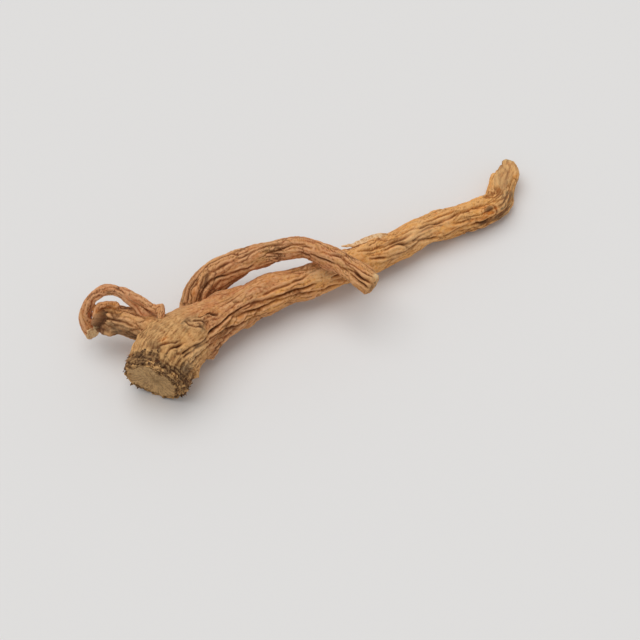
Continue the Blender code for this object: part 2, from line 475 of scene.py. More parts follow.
def net_border(grain: np.ndarray, net: Net, seed: float) -> np.ndarray:
    """Give how far each point is from the border of its mesh in a stretched, swaying net."""
    spots = grain / np.array((net.width * net.stretch, net.width, net.width)) + seed
    sway = NET_SWAY * np.sin(NET_SWAY_RATE * spots[:, [1, 2, 0]] + seed)
    spots += sway + NET_RIPPLE * np.sin(NET_RIPPLE_RATE * spots[:, [2, 0, 1]])
    found = (noise.voronoi(spot)[0] for spot in spots.tolist())
    return np.array([away[1] - away[0] for away in found])


def furrow_cut(places: Places, furrow: Furrow) -> tuple[np.ndarray, np.ndarray]:
    """Cut one crease along its course.

    Args:
        places: where the points lie on the limb.
        furrow: the crease.

    Returns:
        The depth at each point, below zero on its raised shoulders, and its painted shade, from 0 to 1.
    """
    cut = np.zeros(len(places.along))
    dark = np.zeros(len(places.along))
    distances = np.array([row[0] for row in furrow.course])
    margin = COURSE_MARGIN * furrow.half_width
    close = (places.along > distances.min() - margin) & (places.along < distances.max() + margin)
    if not close.any():
        return cut, dark
    near = places.of(close)
    radius = float(np.median(near.radius))
    line = smooth_path(tuple((along, radius * math.radians(angle)) for along, angle in furrow.course),
                       COURSE_SPACING, 2)
    girth = radius * math.tau
    best = np.full(len(near.along), girth)
    share = np.zeros(len(near.along))
    for index, (start, end) in enumerate(zip(line, line[1:])):
        ahead = near.along - start[0]
        sideways = (radius * near.angle - start[1] + girth / 2) % girth - girth / 2
        step = end - start
        t = np.clip((ahead * step[0] + sideways * step[1]) / (step @ step), 0, 1)
        away = np.hypot(ahead - t * step[0], sideways - t * step[1])
        nearer = away < best
        best[nearer] = away[nearer]
        share[nearer] = (index + t[nearer]) / (len(line) - 1)
    fade = smoothstep(share, *FURROW_FADE) * smoothstep(1 - share, *FURROW_FADE)
    across = best / furrow.half_width
    shoulder = SHOULDER_HEIGHT * np.exp(-(((across - SHOULDER_DISTANCE) / SHOULDER_WIDTH) ** 2))
    cut[close] = furrow.depth * fade * (np.exp(-(across**2)) - shoulder)
    # Painted shade along the crease, darker in deeper furrows
    darkness = min(1.0, SHALLOW_CREASE_SHADE + (1 - SHALLOW_CREASE_SHADE) * furrow.depth)
    dark[close] = darkness * fade * np.exp(-((best / CREASE_SHADE_WIDTH) ** 2))
    return cut, dark


@dataclass
class Limb:
    """One limb of the root.

    Attributes:
        name: the limb's name.
        axis: its axis from base to end, each row x, y, height and thickness.
        nets: its nets of creases.
        start: how its first end stands out.
        end: how its far end stands out.
        folds: its lengthwise folds.
        furrows: the creases that are placed one by one.
        marks: its scars and swellings.
        tones: how strong each stain is along the limb, each row a distance and a strength.
        patches: its patches of stain.
        breaks: its cut and broken faces.
        fillet_length: how far from its base it melts into the limb that it grows from.
        wooden_end: whether bare wood shows at its far end.
        sides: how many sides a hoop has.
        spacing: distance from hoop to hoop.
    """

    name: str
    axis: Rows
    nets: tuple[Net, ...]
    start: Rows = BURIED_END
    end: Rows = BROKEN_END
    folds: tuple[Folds, ...] = ()
    furrows: tuple[Furrow, ...] = ()
    marks: tuple[Mark, ...] = ()
    tones: dict[Stain, Rows] = field(default_factory=dict)
    patches: tuple[Patch, ...] = ()
    breaks: tuple[Break, ...] = ()
    fillet_length: float = 6.0
    wooden_end: bool = False
    sides: int = 32
    spacing: float = 1.6

    def spine(self, spacing: float) -> Spine:
        """Walk along the axis in steps of about `spacing`."""
        rows = smooth_path(self.axis, spacing, 3)
        centres = rows[:, :3]
        onward = np.vstack((centres[1] - centres[0], centres[2:] - centres[:-2], centres[-1] - centres[-2]))
        onward /= np.linalg.norm(onward, axis=1)[:, None]
        side = np.cross(onward, np.array(UP))
        side /= np.linalg.norm(side, axis=1)[:, None]
        steps = np.linalg.norm(np.diff(centres, axis=0), axis=1)
        along = np.concatenate(([0.0], np.cumsum(steps)))
        return Spine(centres, np.cross(side, onward), side, onward, along, rows[:, 3] / 2)

    def loft(self) -> bpy.types.Object:
        """Skin the limb's plain hoops, its ends included."""
        spine = self.spine(self.spacing)
        hoops = Hoops(self.name, self.sides)
        last = len(spine.along) - 1
        rows = [(0, share, -out) for share, out in reversed(self.start)]
        rows += [(step, 1.0, 0.0) for step in range(last + 1)]
        rows += [(last, share, out) for share, out in self.end]
        for step, share, out in rows:
            centre = Vector(spine.centres[step]) + out * Vector(spine.onward[step])
            upward, side = Vector(spine.upward[step]), Vector(spine.side[step])
            hoops.add(centre, upward, side, share * float(spine.radius[step]))
        return hoops.skin()

    def locate(self, points: np.ndarray) -> Places:
        """Find where points lie on this limb."""
        spine = self.spine(SPINE_SPACING)
        nearest = np.empty(len(points), int)
        for first in range(0, len(points), POINTS_AT_ONCE):
            batch = points[first : first + POINTS_AT_ONCE]
            away = ((batch[:, None] - spine.centres[None]) ** 2).sum(2)
            nearest[first : first + POINTS_AT_ONCE] = away.argmin(1)
        offset = points - spine.centres[nearest]
        ahead = (offset * spine.onward[nearest]).sum(1)
        offset -= ahead[:, None] * spine.onward[nearest]
        along = spine.along[nearest] + ahead
        reach = np.linalg.norm(offset, axis=1)
        angle = np.arctan2((offset * spine.side[nearest]).sum(1), (offset * spine.upward[nearest]).sum(1))
        radius = np.interp(along, spine.along, spine.radius)
        past = np.minimum(along, 0) + np.maximum(along - spine.along[-1], 0)
        outside = reach - radius
        gap = np.where(past != 0, np.hypot(np.maximum(outside, 0), past), outside)
        return Places(along, angle, reach, radius, past, gap)

    def onward(self, places: Places) -> np.ndarray:
        """Give the direction of the axis beside each place."""
        spine = self.spine(SPINE_SPACING)
        step = np.clip(np.searchsorted(spine.along, places.along), 0, len(spine.along) - 1)
        return spine.onward[step]

    def at(self, along: float, angle: float, reach: float) -> tuple[Vector, Vector]:
        """Give the point at a place and a distance from the axis, and the direction outwards there."""
        spine = self.spine(SPINE_SPACING)
        step = int(np.abs(spine.along - along).argmin())
        turn = math.radians(angle)
        outward = math.cos(turn) * Vector(spine.upward[step]) + math.sin(turn) * Vector(spine.side[step])
        return Vector(spine.centres[step]) + reach * outward, outward

    def grain(self, places: Places) -> np.ndarray:
        """Lay the limb out straight: distance along it, then the place in its cross section."""
        return np.column_stack((places.along, places.reach * np.cos(places.angle),
                                places.reach * np.sin(places.angle)))

    def meander(self, places: Places, amount: float) -> Places:
        """Sway the places, so that the creases laid by them wander.

        Args:
            places: where the points lie on the limb.
            amount: about how far they sway, in millimetres.

        Returns:
            The same places, each moved a little along the limb and round it.
        """
        grain = self.grain(places)
        sideways = sum(rough.over(grain) for rough in SWAY_ROUND)
        return replace(places, along=places.along + amount * SWAY_AHEAD.over(grain),
                       angle=places.angle + amount * sideways / places.radius)

    def liveliness(self, places: Places) -> np.ndarray:
        """Give how strongly folds and nets show at each place."""
        return np.ones(len(places.along))

    def relief(self, places: Places) -> tuple[np.ndarray, np.ndarray]:
        """Work out how far the bark stands out and how dark its creases are.

        Args:
            places: where the points lie on the limb.

        Returns:
            The height of each point, and how much painted shade it gets in a crease, from 0 to 1.
        """
        fullness = np.clip(places.radius / FULL_RELIEF_RADIUS, 0, 1)
        lively = self.liveliness(places)
        swayed = self.meander(places, MEANDER)
        barely_swayed = self.meander(places, FURROW_MEANDER)
        grain = self.grain(places)
        height = fullness * (lumps(places) + BUMPS.over(grain))
        height += sum(rough.over(grain) for rough in GRANULES)
        crease = np.zeros(len(places.along))
        for folds in self.folds:
            height += lively * fullness * fold_height(swayed, folds)
        patchy = NET_STRENGTH + NET_PATCHES.over(grain)
        for order, net in enumerate(self.nets):
            border = net_border(self.grain(swayed), net, 7.3 * order + len(self.name))
            strength = lively * np.clip(patchy + NET_FADING * (1 - order), NET_LEAST, 1)
            valley = np.minimum(border / VALLEY_WIDTH, 1) ** VALLEY_SHARPNESS - VALLEY_FLOOR
            height += net.depth * strength * valley
            # Painted shade along the net's borders
            line = np.exp(-((border / NET_SHADE_WIDTH) ** 2))
            crease = np.maximum(crease, NET_LINE_SHADE * strength * line)
        broken = np.clip(FURROW_STRENGTH + FURROW_BREAKS.over(grain), *FURROW_RANGE)
        for furrow in self.furrows:
            cut, dark = furrow_cut(barely_swayed, furrow)
            height -= fullness * broken * cut
            crease = np.maximum(crease, broken * dark)
        for mark in self.marks:
            ahead, sideways = places.away(mark.along, mark.angle)
            height += mark.height * np.exp(-(ahead**2 + sideways**2) / mark.size**2)
        return height, crease

    def stain(self, places: Places, stain: Stain, sway: np.ndarray) -> np.ndarray:
        """Give the strength of a stain at each place.

        Args:
            places: where the points lie on the limb.
            stain: which stain.
            sway: a random number for each point, which frays the patches' edges.

        Returns:
            The strength, from 0 to 1.
        """
        strength = np.zeros(len(places.along))
        if stain in self.tones:
            rows = np.array(self.tones[stain])
            strength = np.interp(places.along + TONE_FRAY * sway, rows[:, 0], rows[:, 1])
        for patch in self.patches:
            if patch.stain is stain:
                ahead, sideways = places.away(patch.along, patch.angle)
                spread = (ahead / patch.length) ** 2 + (sideways / patch.width) ** 2
                frayed = (spread * (1 + PATCH_FRAY * sway)) ** PATCH_SHARPNESS
                strength += patch.strength * np.exp(-frayed)
        return np.clip(strength, 0, 1)


@dataclass
class MainRoot(Limb):
    """The thick main root, with the crusted crown and the splintered tip.

    Attributes:
        crust_lean: the side on which the crust reaches furthest over the cut face, in degrees.
        crust_length: how far the crust reaches from the crown.
        crust_height: how far its grains stand out.
        crust_fullness: how strong it is at the crown, where above 1 is cut off.
        layer_spacing: distance between the crust's thin layers.
        layer_height: how far they stand out.
        layer_sharpness: how sharp the gaps between them are.
        layer_level: which share of a layer's height lies on the plain bark.
        layer_gap: how wide the painted shade in a gap is, as a share of a layer.
        ring_length: how far the ring wrinkles reach from the crown.
        ring_spacing: distance between them.
        ring_depth: their depth.
        ring_sway: how far they sway along the root as they go round it.
        calm_patches: where the bark is taut, as patches without a stain of their own.
        splinters: how far along the broken tip steps in on its inner side, and by how much.
        splinter_side: the angle of that side, in degrees.
        splinter_width: how wide it is, in radians.
        splinter_edge: half the length of each step.
        face_depth: how deep the crown's cut face is sunken.
        ray_spread: how far apart the rays on the cut face lie.
        ray_breaks: how often they are broken on their way outwards.
        ray_reach: how far out they go, as a share of the radius.
        calm_face: what share of the folds and nets shows on the cut face.
        face_rim: where the cut face ends, as shares of the radius.
        crust_overhang: how much further inwards the crust reaches on its leaning side.
    """

    crust_lean: float = 65.0
    crust_length: float = 4.2
    crust_height: float = 0.34
    crust_fullness: float = 1.3
    layer_spacing: float = 0.95
    layer_height: float = 0.42
    layer_sharpness: float = 0.7
    layer_level: float = 0.6
    layer_gap: float = 0.35
    ring_length: float = 26.0
    ring_spacing: float = 2.6
    ring_depth: float = 0.22
    ring_sway: float = 0.8
    calm_patches: Rows = ()
    splinters: Rows = ()
    splinter_side: float = -95.0
    splinter_width: float = 0.9
    splinter_edge: float = 0.3
    face_depth: float = 0.9
    ray_spread: float = 13.0
    ray_breaks: float = 6.0
    ray_reach: float = 0.92
    calm_face: float = 0.3
    face_rim: Pair = (0.80, 0.90)
    crust_overhang: float = 0.30

    def liveliness(self, places: Places) -> np.ndarray:
        """Give how strongly folds and nets show: less where the bark is taut, as on the upper crown."""
        lively = np.ones(len(places.along))
        for along, angle, length, width, calm in self.calm_patches:
            ahead, sideways = places.away(along, angle)
            lively *= 1 - calm * np.exp(-((ahead / length) ** 2 + (sideways / width) ** 2) ** 2)
        return lively * (self.calm_face + (1 - self.calm_face) * self.off_face(places))

    def grain(self, places: Places) -> np.ndarray:
        """Lay the limb out straight, with the cut face's grain from its middle outwards."""
        plain = super().grain(places)
        rays = np.column_stack((self.ray_breaks * places.reach, self.ray_spread * np.cos(places.angle),
                                self.ray_spread * np.sin(places.angle)))
        on_face = (places.along < self.face_depth) & (places.reach < self.ray_reach * places.radius)
        return np.where(on_face[:, None], rays, plain)

    def off_face(self, places: Places) -> np.ndarray:
        """Give 0 on the crown's cut face and 1 off it."""
        off_end = smoothstep(places.along, self.face_depth, 2 * self.face_depth)
        lean = np.clip(np.cos(places.angle - math.radians(self.crust_lean)), 0, 1)
        fray = RIM_FRAY.over(super().grain(places))
        rim = places.reach / places.radius + self.crust_overhang * lean + fray
        return np.maximum(off_end, smoothstep(rim, *self.face_rim))

    def stain(self, places: Places, stain: Stain, sway: np.ndarray) -> np.ndarray:
        """Keep the crust's stain off the cut face, and bare its wood."""
        strength = super().stain(places, stain, sway)
        if stain is Stain.CRUST:
            return strength * self.off_face(places)
        if stain is Stain.WOOD:
            return np.maximum(strength, 1 - self.off_face(places))
        return strength

    def relief(self, places: Places) -> tuple[np.ndarray, np.ndarray]:
        """Add the ring wrinkles, the crust and the splintered tip to a limb's relief."""
        height, crease = super().relief(places)
        near_crown = np.clip(1 - places.along / self.ring_length, 0, 1)
        swayed = places.along + self.ring_sway * np.sin(2 * places.angle)
        height += self.ring_depth * near_crown * np.sin(math.tau * swayed / self.ring_spacing)
        grain = self.grain(places)
        edge = self.crust_length * (1 + CRUST_FRAY.over(grain))
        crust = np.clip(self.crust_fullness * (1 - places.along / edge), 0, 1) * self.off_face(places)
        rough = sum(rough.over(grain) for rough in CRUST_GRAINS)
        layer = places.along + sum(rough.over(grain) for rough in CRUST_LAYER_SWAY)
        layers = np.abs(np.sin(math.pi * layer / self.layer_spacing))
        layered = self.layer_height * (layers**self.layer_sharpness - self.layer_level)
        height += crust * (self.crust_height * rough + layered)
        # Painted shade in the gaps between the crust's layers
        crease = np.maximum(crease, crust * np.exp(-((layers / self.layer_gap) ** 2)))
        for along, step in self.splinters:
            sideways = wrap(places.angle - math.radians(self.splinter_side))
            inner = np.exp(-((sideways / self.splinter_width) ** 4))
            torn = places.along + SPLINTER_FRAY.over(grain)
            height -= step * inner * smoothstep(torn, along - self.splinter_edge, along + self.splinter_edge)
        return height, crease


class Skin:
    """The points of a mesh in millimetres, with what is worked out from them."""

    def __init__(self, shape: bpy.types.Object) -> None:
        """Read the mesh of an object.

        Args:
            shape: the object.
        """
        self.mesh = shape.data
        self.count = len(self.mesh.vertices)
        edges = np.empty(2 * len(self.mesh.edges), np.int32)
        self.mesh.edges.foreach_get("vertices", edges)
        self.starts, self.ends = edges[0::2], edges[1::2]
        both = np.bincount(self.starts, minlength=self.count) + np.bincount(self.ends, minlength=self.count)
        self.neighbours = np.maximum(both, 1)[:, None]
        self.points = self._read("co") / MM

    def _read(self, name: str) -> np.ndarray:
        """Read one vector of every point."""
        values = np.empty(3 * self.count, np.float32)
        self.mesh.vertices.foreach_get(name, values)
        return values.reshape(-1, 3).astype(float)

    def normals(self) -> np.ndarray:
        """Give the direction outwards at every point."""
        return self._read("normal")

    def store(self) -> None:
        """Write the points back to the mesh."""
        self.mesh.vertices.foreach_set("co", (self.points * MM).astype(np.float32).ravel())
        self.mesh.update()

    def soften(self, values: np.ndarray, rounds: int) -> np.ndarray:
        """Average rows of values with their neighbours', a number of times."""
        for _ in range(rounds):
            total = np.empty_like(values)
            for column in range(values.shape[1]):
                total[:, column] = np.bincount(self.starts, values[self.ends, column], self.count)
                total[:, column] += np.bincount(self.ends, values[self.starts, column], self.count)
            values = 0.5 * values + 0.5 * total / self.neighbours
        return values

    def hollowness(self, rounds: int) -> np.ndarray:
        """Give how far each point lies below its softened surroundings, in millimetres."""
        return ((self.soften(self.points, rounds) - self.points) * self.normals()).sum(1)

    def note(self, name: str, values: np.ndarray) -> None:
        """Keep a number, or a row of three, for every point as an attribute."""
        kind, member = ("FLOAT", "value") if values.ndim == 1 else ("FLOAT_VECTOR", "vector")
        attribute = self.mesh.attributes.new(name, kind, "POINT")
        attribute.data.foreach_set(member, values.astype(np.float32).ravel())


@dataclass
class RootBody:
    """The grown body: every limb, fused into one skin, wrinkled and stained.

    Attributes:
        limbs: the main root first, then what grows on it.
        voxel: size of the grid that the limbs are fused on.
        smoothing: how much the steps of that grid are smoothed, and how often.
        fillet: how softly one limb runs into another.
        fillet_fade: over which distance the fillet runs out along a limb.
        seam_width: how far from a seam between limbs the relief is lower.
        seam_relief: what share of it is left in the seam.
        seam_creases: what share of the creases' painted shade is left there.
        cap_relief: what share of the relief is left on a limb's plain end.
        cap_edge: how far past the limb's end that starts, and where it is reached.
        polish: how much the wrinkled skin is softened at last.
        face_middle: where a sunken face starts to rise and meets its rim, as shares of the radius.
        face_edge: how far above a face its stain starts, below zero for under it, and where it is full.
        wood_past: how far past a limb's end its bare wood starts.
        wood_rim: where that wood starts to fade and ends, as shares of the radius.
        limb_shift: how far apart the limbs lie along the grain, so that none repeats another's pattern.
        hollow_depths: how deep a fine and a broad hollow are where their painted shade is darkest.
        crest_heights: how high a fine and a broad crest are where their painted highlight is palest.
    """

    limbs: tuple[Limb, ...]
    voxel: float = 0.34
    smoothing: tuple[float, int] = (0.5, 4)
    fillet: float = 0.9
    fillet_fade: float = 4.0
    seam_width: float = 1.2
    seam_relief: float = 0.25
    seam_creases: float = 0.3
    cap_relief: float = 0.2
    cap_edge: Pair = (0.05, 0.5)
    polish: float = 0.12
    face_middle: Pair = (0.45, 0.85)
    face_edge: Pair = (-0.1, 0.15)
    wood_past: float = 0.15
    wood_rim: Pair = (0.86, 0.98)
    limb_shift: float = 40.0
    hollow_depths: Pair = (0.05, 0.22)
    crest_heights: Pair = (0.04, 0.2)

    def build(self) -> bpy.types.Object:
        """Make the body's mesh, with its relief and its stains."""
        shape = join([limb.loft() for limb in self.limbs], "grown_root")
        apply_modifier(shape, "REMESH", mode="VOXEL", voxel_size=self.voxel * MM)
        apply_modifier(shape, "SMOOTH", factor=self.smoothing[0], iterations=self.smoothing[1])
        skin = Skin(shape)
        found = [limb.locate(skin.points) for limb in self.limbs]
        gaps = np.array([places.gap for places in found])
        owner = gaps.argmin(0)
        self._melt(skin, found, gaps)
        creases, grain = self._wrinkle(skin, found, owner, gaps)
        shown = self._break_ends(skin, found, owner, grain)
        self._stain(skin, found, owner, creases, grain, shown)
        choose(shape)
        bpy.ops.object.shade_smooth()
        return shape

    def _melt(self, skin: Skin, found: list[Places], gaps: np.ndarray) -> None:
        """Fill the corners where a limb grows out of another."""
        owner = gaps.argmin(0)
        near_base = np.array([
            1 - smoothstep(places.along, limb.fillet_length, limb.fillet_length + self.fillet_fade)
            for limb, places in zip(self.limbs, found)
        ])
        total = np.ones(skin.count)
        for index in range(len(self.limbs)):
            grown = np.maximum(owner, index)
            share = near_base[grown, np.arange(skin.count)] * (owner != index)
            total += share * np.exp(-(gaps[index] - gaps.min(0)) / self.fillet)
        skin.points += skin.normals() * (self.fillet * np.log(total))[:, None]
        skin.store()

    def _wrinkle(self, skin: Skin, found: list[Places], owner: np.ndarray,
                 gaps: np.ndarray) -> tuple[np.ndarray, np.ndarray]:
        """Raise the relief of each limb over its own points.

        Args:
            skin: the body's points.
            found: the places of the points on every limb.
            owner: the limb that each point belongs to.
            gaps: the gap between each point and every limb.

        Returns:
            How much painted shade each point gets in a crease, and its place along the grain.
        """
        height = np.zeros(skin.count)
        creases = np.zeros(skin.count)
        grain = np.zeros((skin.count, 3))
        two = np.sort(gaps, axis=0)[:2]
        lead = smoothstep(two[1] - two[0], 0.0, self.seam_width)
        for index, limb in enumerate(self.limbs):
            own = owner == index
            if own.any():
                places = found[index].of(own)
                height[own], creases[own] = limb.relief(places)
                grain[own] = limb.grain(places) + self.limb_shift * index
        capped = np.zeros(skin.count)
        for index, places in enumerate(found):
            capped = np.maximum(capped, smoothstep(np.abs(places.past), *self.cap_edge) * (owner == index))
        height *= (self.seam_relief + (1 - self.seam_relief) * lead) * (1 - (1 - self.cap_relief) * capped)
        skin.points += skin.normals() * height[:, None]
        skin.points += self.polish * (skin.soften(skin.points, 1) - skin.points)
        skin.points[:, 2] = np.maximum(skin.points[:, 2], 0)
        skin.store()
        return creases * (self.seam_creases + (1 - self.seam_creases) * lead), grain

    def _break_ends(self, skin: Skin, found: list[Places], owner: np.ndarray,
                    grain: np.ndarray) -> dict[Stain, np.ndarray]:
        """Take off what stands out of the cut and broken faces.

        Args:
            skin: the body's points.
            found: the places of the points on every limb.
            owner: the limb that each point belongs to.
            grain: the place of each point along the grain.

        Returns:
            How strongly each stain shows on the faces.
        """
        shown = {stain: np.zeros(skin.count) for stain in Stain}
        for index, limb in enumerate(self.limbs):
            for face in limb.breaks:
                chosen = np.flatnonzero((owner == index) & (found[index].along > face.first))
                points = skin.points[chosen]
                outward = np.array(Vector(face.outward).normalized())
                uneven = BREAK_LUMPS.over(points) + BREAK_FIBRES.over(grain[chosen])
                out = (points - face.point) @ outward - face.ragged * uneven
                depth = np.maximum(out, 0)
                back = np.tile(outward, (len(chosen), 1))
                if face.across:
                    places = found[index].of(chosen)
                    back = limb.onward(places)
                    inner = 1 - smoothstep(places.reach / places.radius, *self.face_middle)
                    depth = depth / (back @ outward) + face.sunken * inner * (out > 0)
                skin.points[chosen] -= depth[:, None] * back
                share = smoothstep(out, *self.face_edge)
                for stain, strength in face.stains:
                    shown[stain][chosen] = np.maximum(shown[stain][chosen], strength * share)
        skin.points[:, 2] = np.maximum(skin.points[:, 2], 0)
        skin.store()
        return shown

    def _stain(self, skin: Skin, found: list[Places], owner: np.ndarray, creases: np.ndarray,
               grain: np.ndarray, shown: dict[Stain, np.ndarray]) -> None:
        """Note for every point what the finish needs to know."""
        sway = sum(rough.over(grain) for rough in STAIN_FRAY)
        for stain in Stain:
            strength = np.zeros(skin.count)
            for index, limb in enumerate(self.limbs):
                own = owner == index
                strength[own] = limb.stain(found[index].of(own), stain, sway[own])
            if stain is Stain.WOOD:
                strength = np.maximum(strength, self._bare_wood(found, owner))
            skin.note(stain.value, np.maximum(strength, shown[stain]))
        # How hollow and how high each point lies, for the painted shade in hollows and the painted highlight
        # on crests
        fine, broad = skin.hollowness(2), skin.hollowness(12)
        deep, wide = self.hollow_depths
        skin.note("hollow", np.clip(np.maximum(fine / deep, broad / wide), 0, 1))
        high, wide = self.crest_heights
        skin.note("crest", np.clip(-(0.5 * fine / high + 0.5 * broad / wide), 0, 1))
        # How strongly each point is darkened by painted shade in a crease
        skin.note("crease", creases)
        skin.note("grain", grain)

    def _bare_wood(self, found: list[Places], owner: np.ndarray) -> np.ndarray:
        """Give where the ends of the limbs show their wood."""
        wood = np.zeros(len(owner))
        for index, limb in enumerate(self.limbs):
            places = found[index]
            if limb.wooden_end:
                inner = 1 - smoothstep(places.reach / places.radius, *self.wood_rim)
                wood = np.maximum(wood, (owner == index) * (places.past > self.wood_past) * inner)
        return wood


@dataclass(frozen=True)
class Cloud:
    """Cloudy noise of which only the upper part shows.

    Attributes:
        size: the size of its features.
        low: where it starts to show, from 0 to 1.
        high: where it shows fully.
        strength: how strongly it shows there.
        stretch: how many times longer its features are along the grain, or nothing for no grain.
        detail: how fine it is broken up.
    """

    size: float
    low: float
    high: float
    strength: float = 1.0
    stretch: float | None = None
    detail: float = 3.0


class Nodes:
    """A finish's node tree, with short ways to add what it needs."""

    def __init__(self, name: str) -> None:
        """Start a finish with one shader.

        Args:
            name: the finish's name.
        """
        self.material = bpy.data.materials.new(name)
        self.material.use_nodes = True
        self.tree = self.material.node_tree
        self.shader = self.tree.nodes["Principled BSDF"]

    def put(self, socket: Socket, value: object) -> None:
        """Link a socket to another, or set its value."""
        if isinstance(value, Socket):
            self.tree.links.new(value, socket)
        else:
            socket.default_value = value

    def attribute(self, name: str) -> Socket:
        """Read a number that the mesh keeps for its points."""
        node = self.tree.nodes.new("ShaderNodeAttribute")
        node.attribute_name = name
        return node.outputs["Fac"]

    def along_grain(self, stretch: float) -> Socket:
        """Read the place along the grain, in millimetres, with its length divided by `stretch`."""
        node = self.tree.nodes.new("ShaderNodeAttribute")
        node.attribute_name = "grain"
        scaled = self.tree.nodes.new("ShaderNodeMapping")
        scaled.inputs["Scale"].default_value = (1 / stretch, 1.0, 1.0)
        self.tree.links.new(node.outputs["Vector"], scaled.inputs["Vector"])
        return scaled.outputs["Vector"]

    def place(self) -> Socket:
        """Read the place on the object, in millimetres."""
        node = self.tree.nodes.new("ShaderNodeTexCoord")
        scaled = self.tree.nodes.new("ShaderNodeMapping")
        scaled.inputs["Scale"].default_value = (1 / MM, 1 / MM, 1 / MM)
        self.tree.links.new(node.outputs["Object"], scaled.inputs["Vector"])
        return scaled.outputs["Vector"]

    def cloud(self, vector: Socket, size: float, detail: float = 3.0) -> Socket:
        """Make smooth noise whose features are about `size` millimetres."""
        node = self.tree.nodes.new("ShaderNodeTexNoise")
        self.tree.links.new(vector, node.inputs["Vector"])
        node.inputs["Scale"].default_value = 1 / size
        node.inputs["Detail"].default_value = detail
        node.inputs["Roughness"].default_value = 0.6
        return node.outputs["Fac"]

    def shown(self, cloud: Cloud) -> Socket:
        """Make a cloud, and give how strongly it shows."""
        vector = self.place() if cloud.stretch is None else self.along_grain(cloud.stretch)
        return self.span(self.cloud(vector, cloud.size, cloud.detail), cloud.low, cloud.high, cloud.strength)

    def stained(self, stain: Stain, cloud: Cloud) -> Socket:
        """Give how strongly a cloud shows within a stain."""
        return self.times(self.attribute(stain.value), self.shown(cloud))

    def span(self, value: Socket, low: float, high: float,
             top: float = 1.0) -> Socket:
        """Stretch the values between low and high to 0 and `top`, and clamp them."""
        node = self.tree.nodes.new("ShaderNodeMapRange")
        self.tree.links.new(value, node.inputs["Value"])
        node.inputs["From Min"].default_value = low
        node.inputs["From Max"].default_value = high
        node.inputs["To Max"].default_value = top
        return node.outputs["Result"]

    def times(self, first: object, second: object) -> Socket:
        """Multiply two numbers."""
        node = self.tree.nodes.new("ShaderNodeMath")
        node.operation = "MULTIPLY"
        self.put(node.inputs[0], first)
        self.put(node.inputs[1], second)
        return node.outputs["Value"]

    def blend(self, share: object, under: object, over: object, way: str = "MIX") -> Socket:
        """Lay one colour over another."""
        node = self.tree.nodes.new("ShaderNodeMix")
        node.data_type = "RGBA"
        node.blend_type = way
        self.put(node.inputs[0], share)
        self.put(node.inputs[6], under)
        self.put(node.inputs[7], over)
        return node.outputs[2]

    def bump(self, height: Socket, distance: float, strength: float) -> None:
        """Roughen the shader's surface, over any bump that it has."""
        node = self.tree.nodes.new("ShaderNodeBump")
        node.inputs["Distance"].default_value = distance * MM
        node.inputs["Strength"].default_value = strength
        self.tree.links.new(height, node.inputs["Height"])
        normal = self.shader.inputs["Normal"]
        if normal.is_linked:
            self.tree.links.new(normal.links[0].from_socket, node.inputs["Normal"])
        self.tree.links.new(node.outputs["Normal"], normal)

    def finish(self, colour: object, roughness: float, shine: float) -> bpy.types.Material:
        """Give the shader its colour, roughness and shine, and hand over the material."""
        self.put(self.shader.inputs["Base Color"], colour)
        self.shader.inputs["Roughness"].default_value = roughness
        self.shader.inputs["Specular IOR Level"].default_value = shine
        return self.material


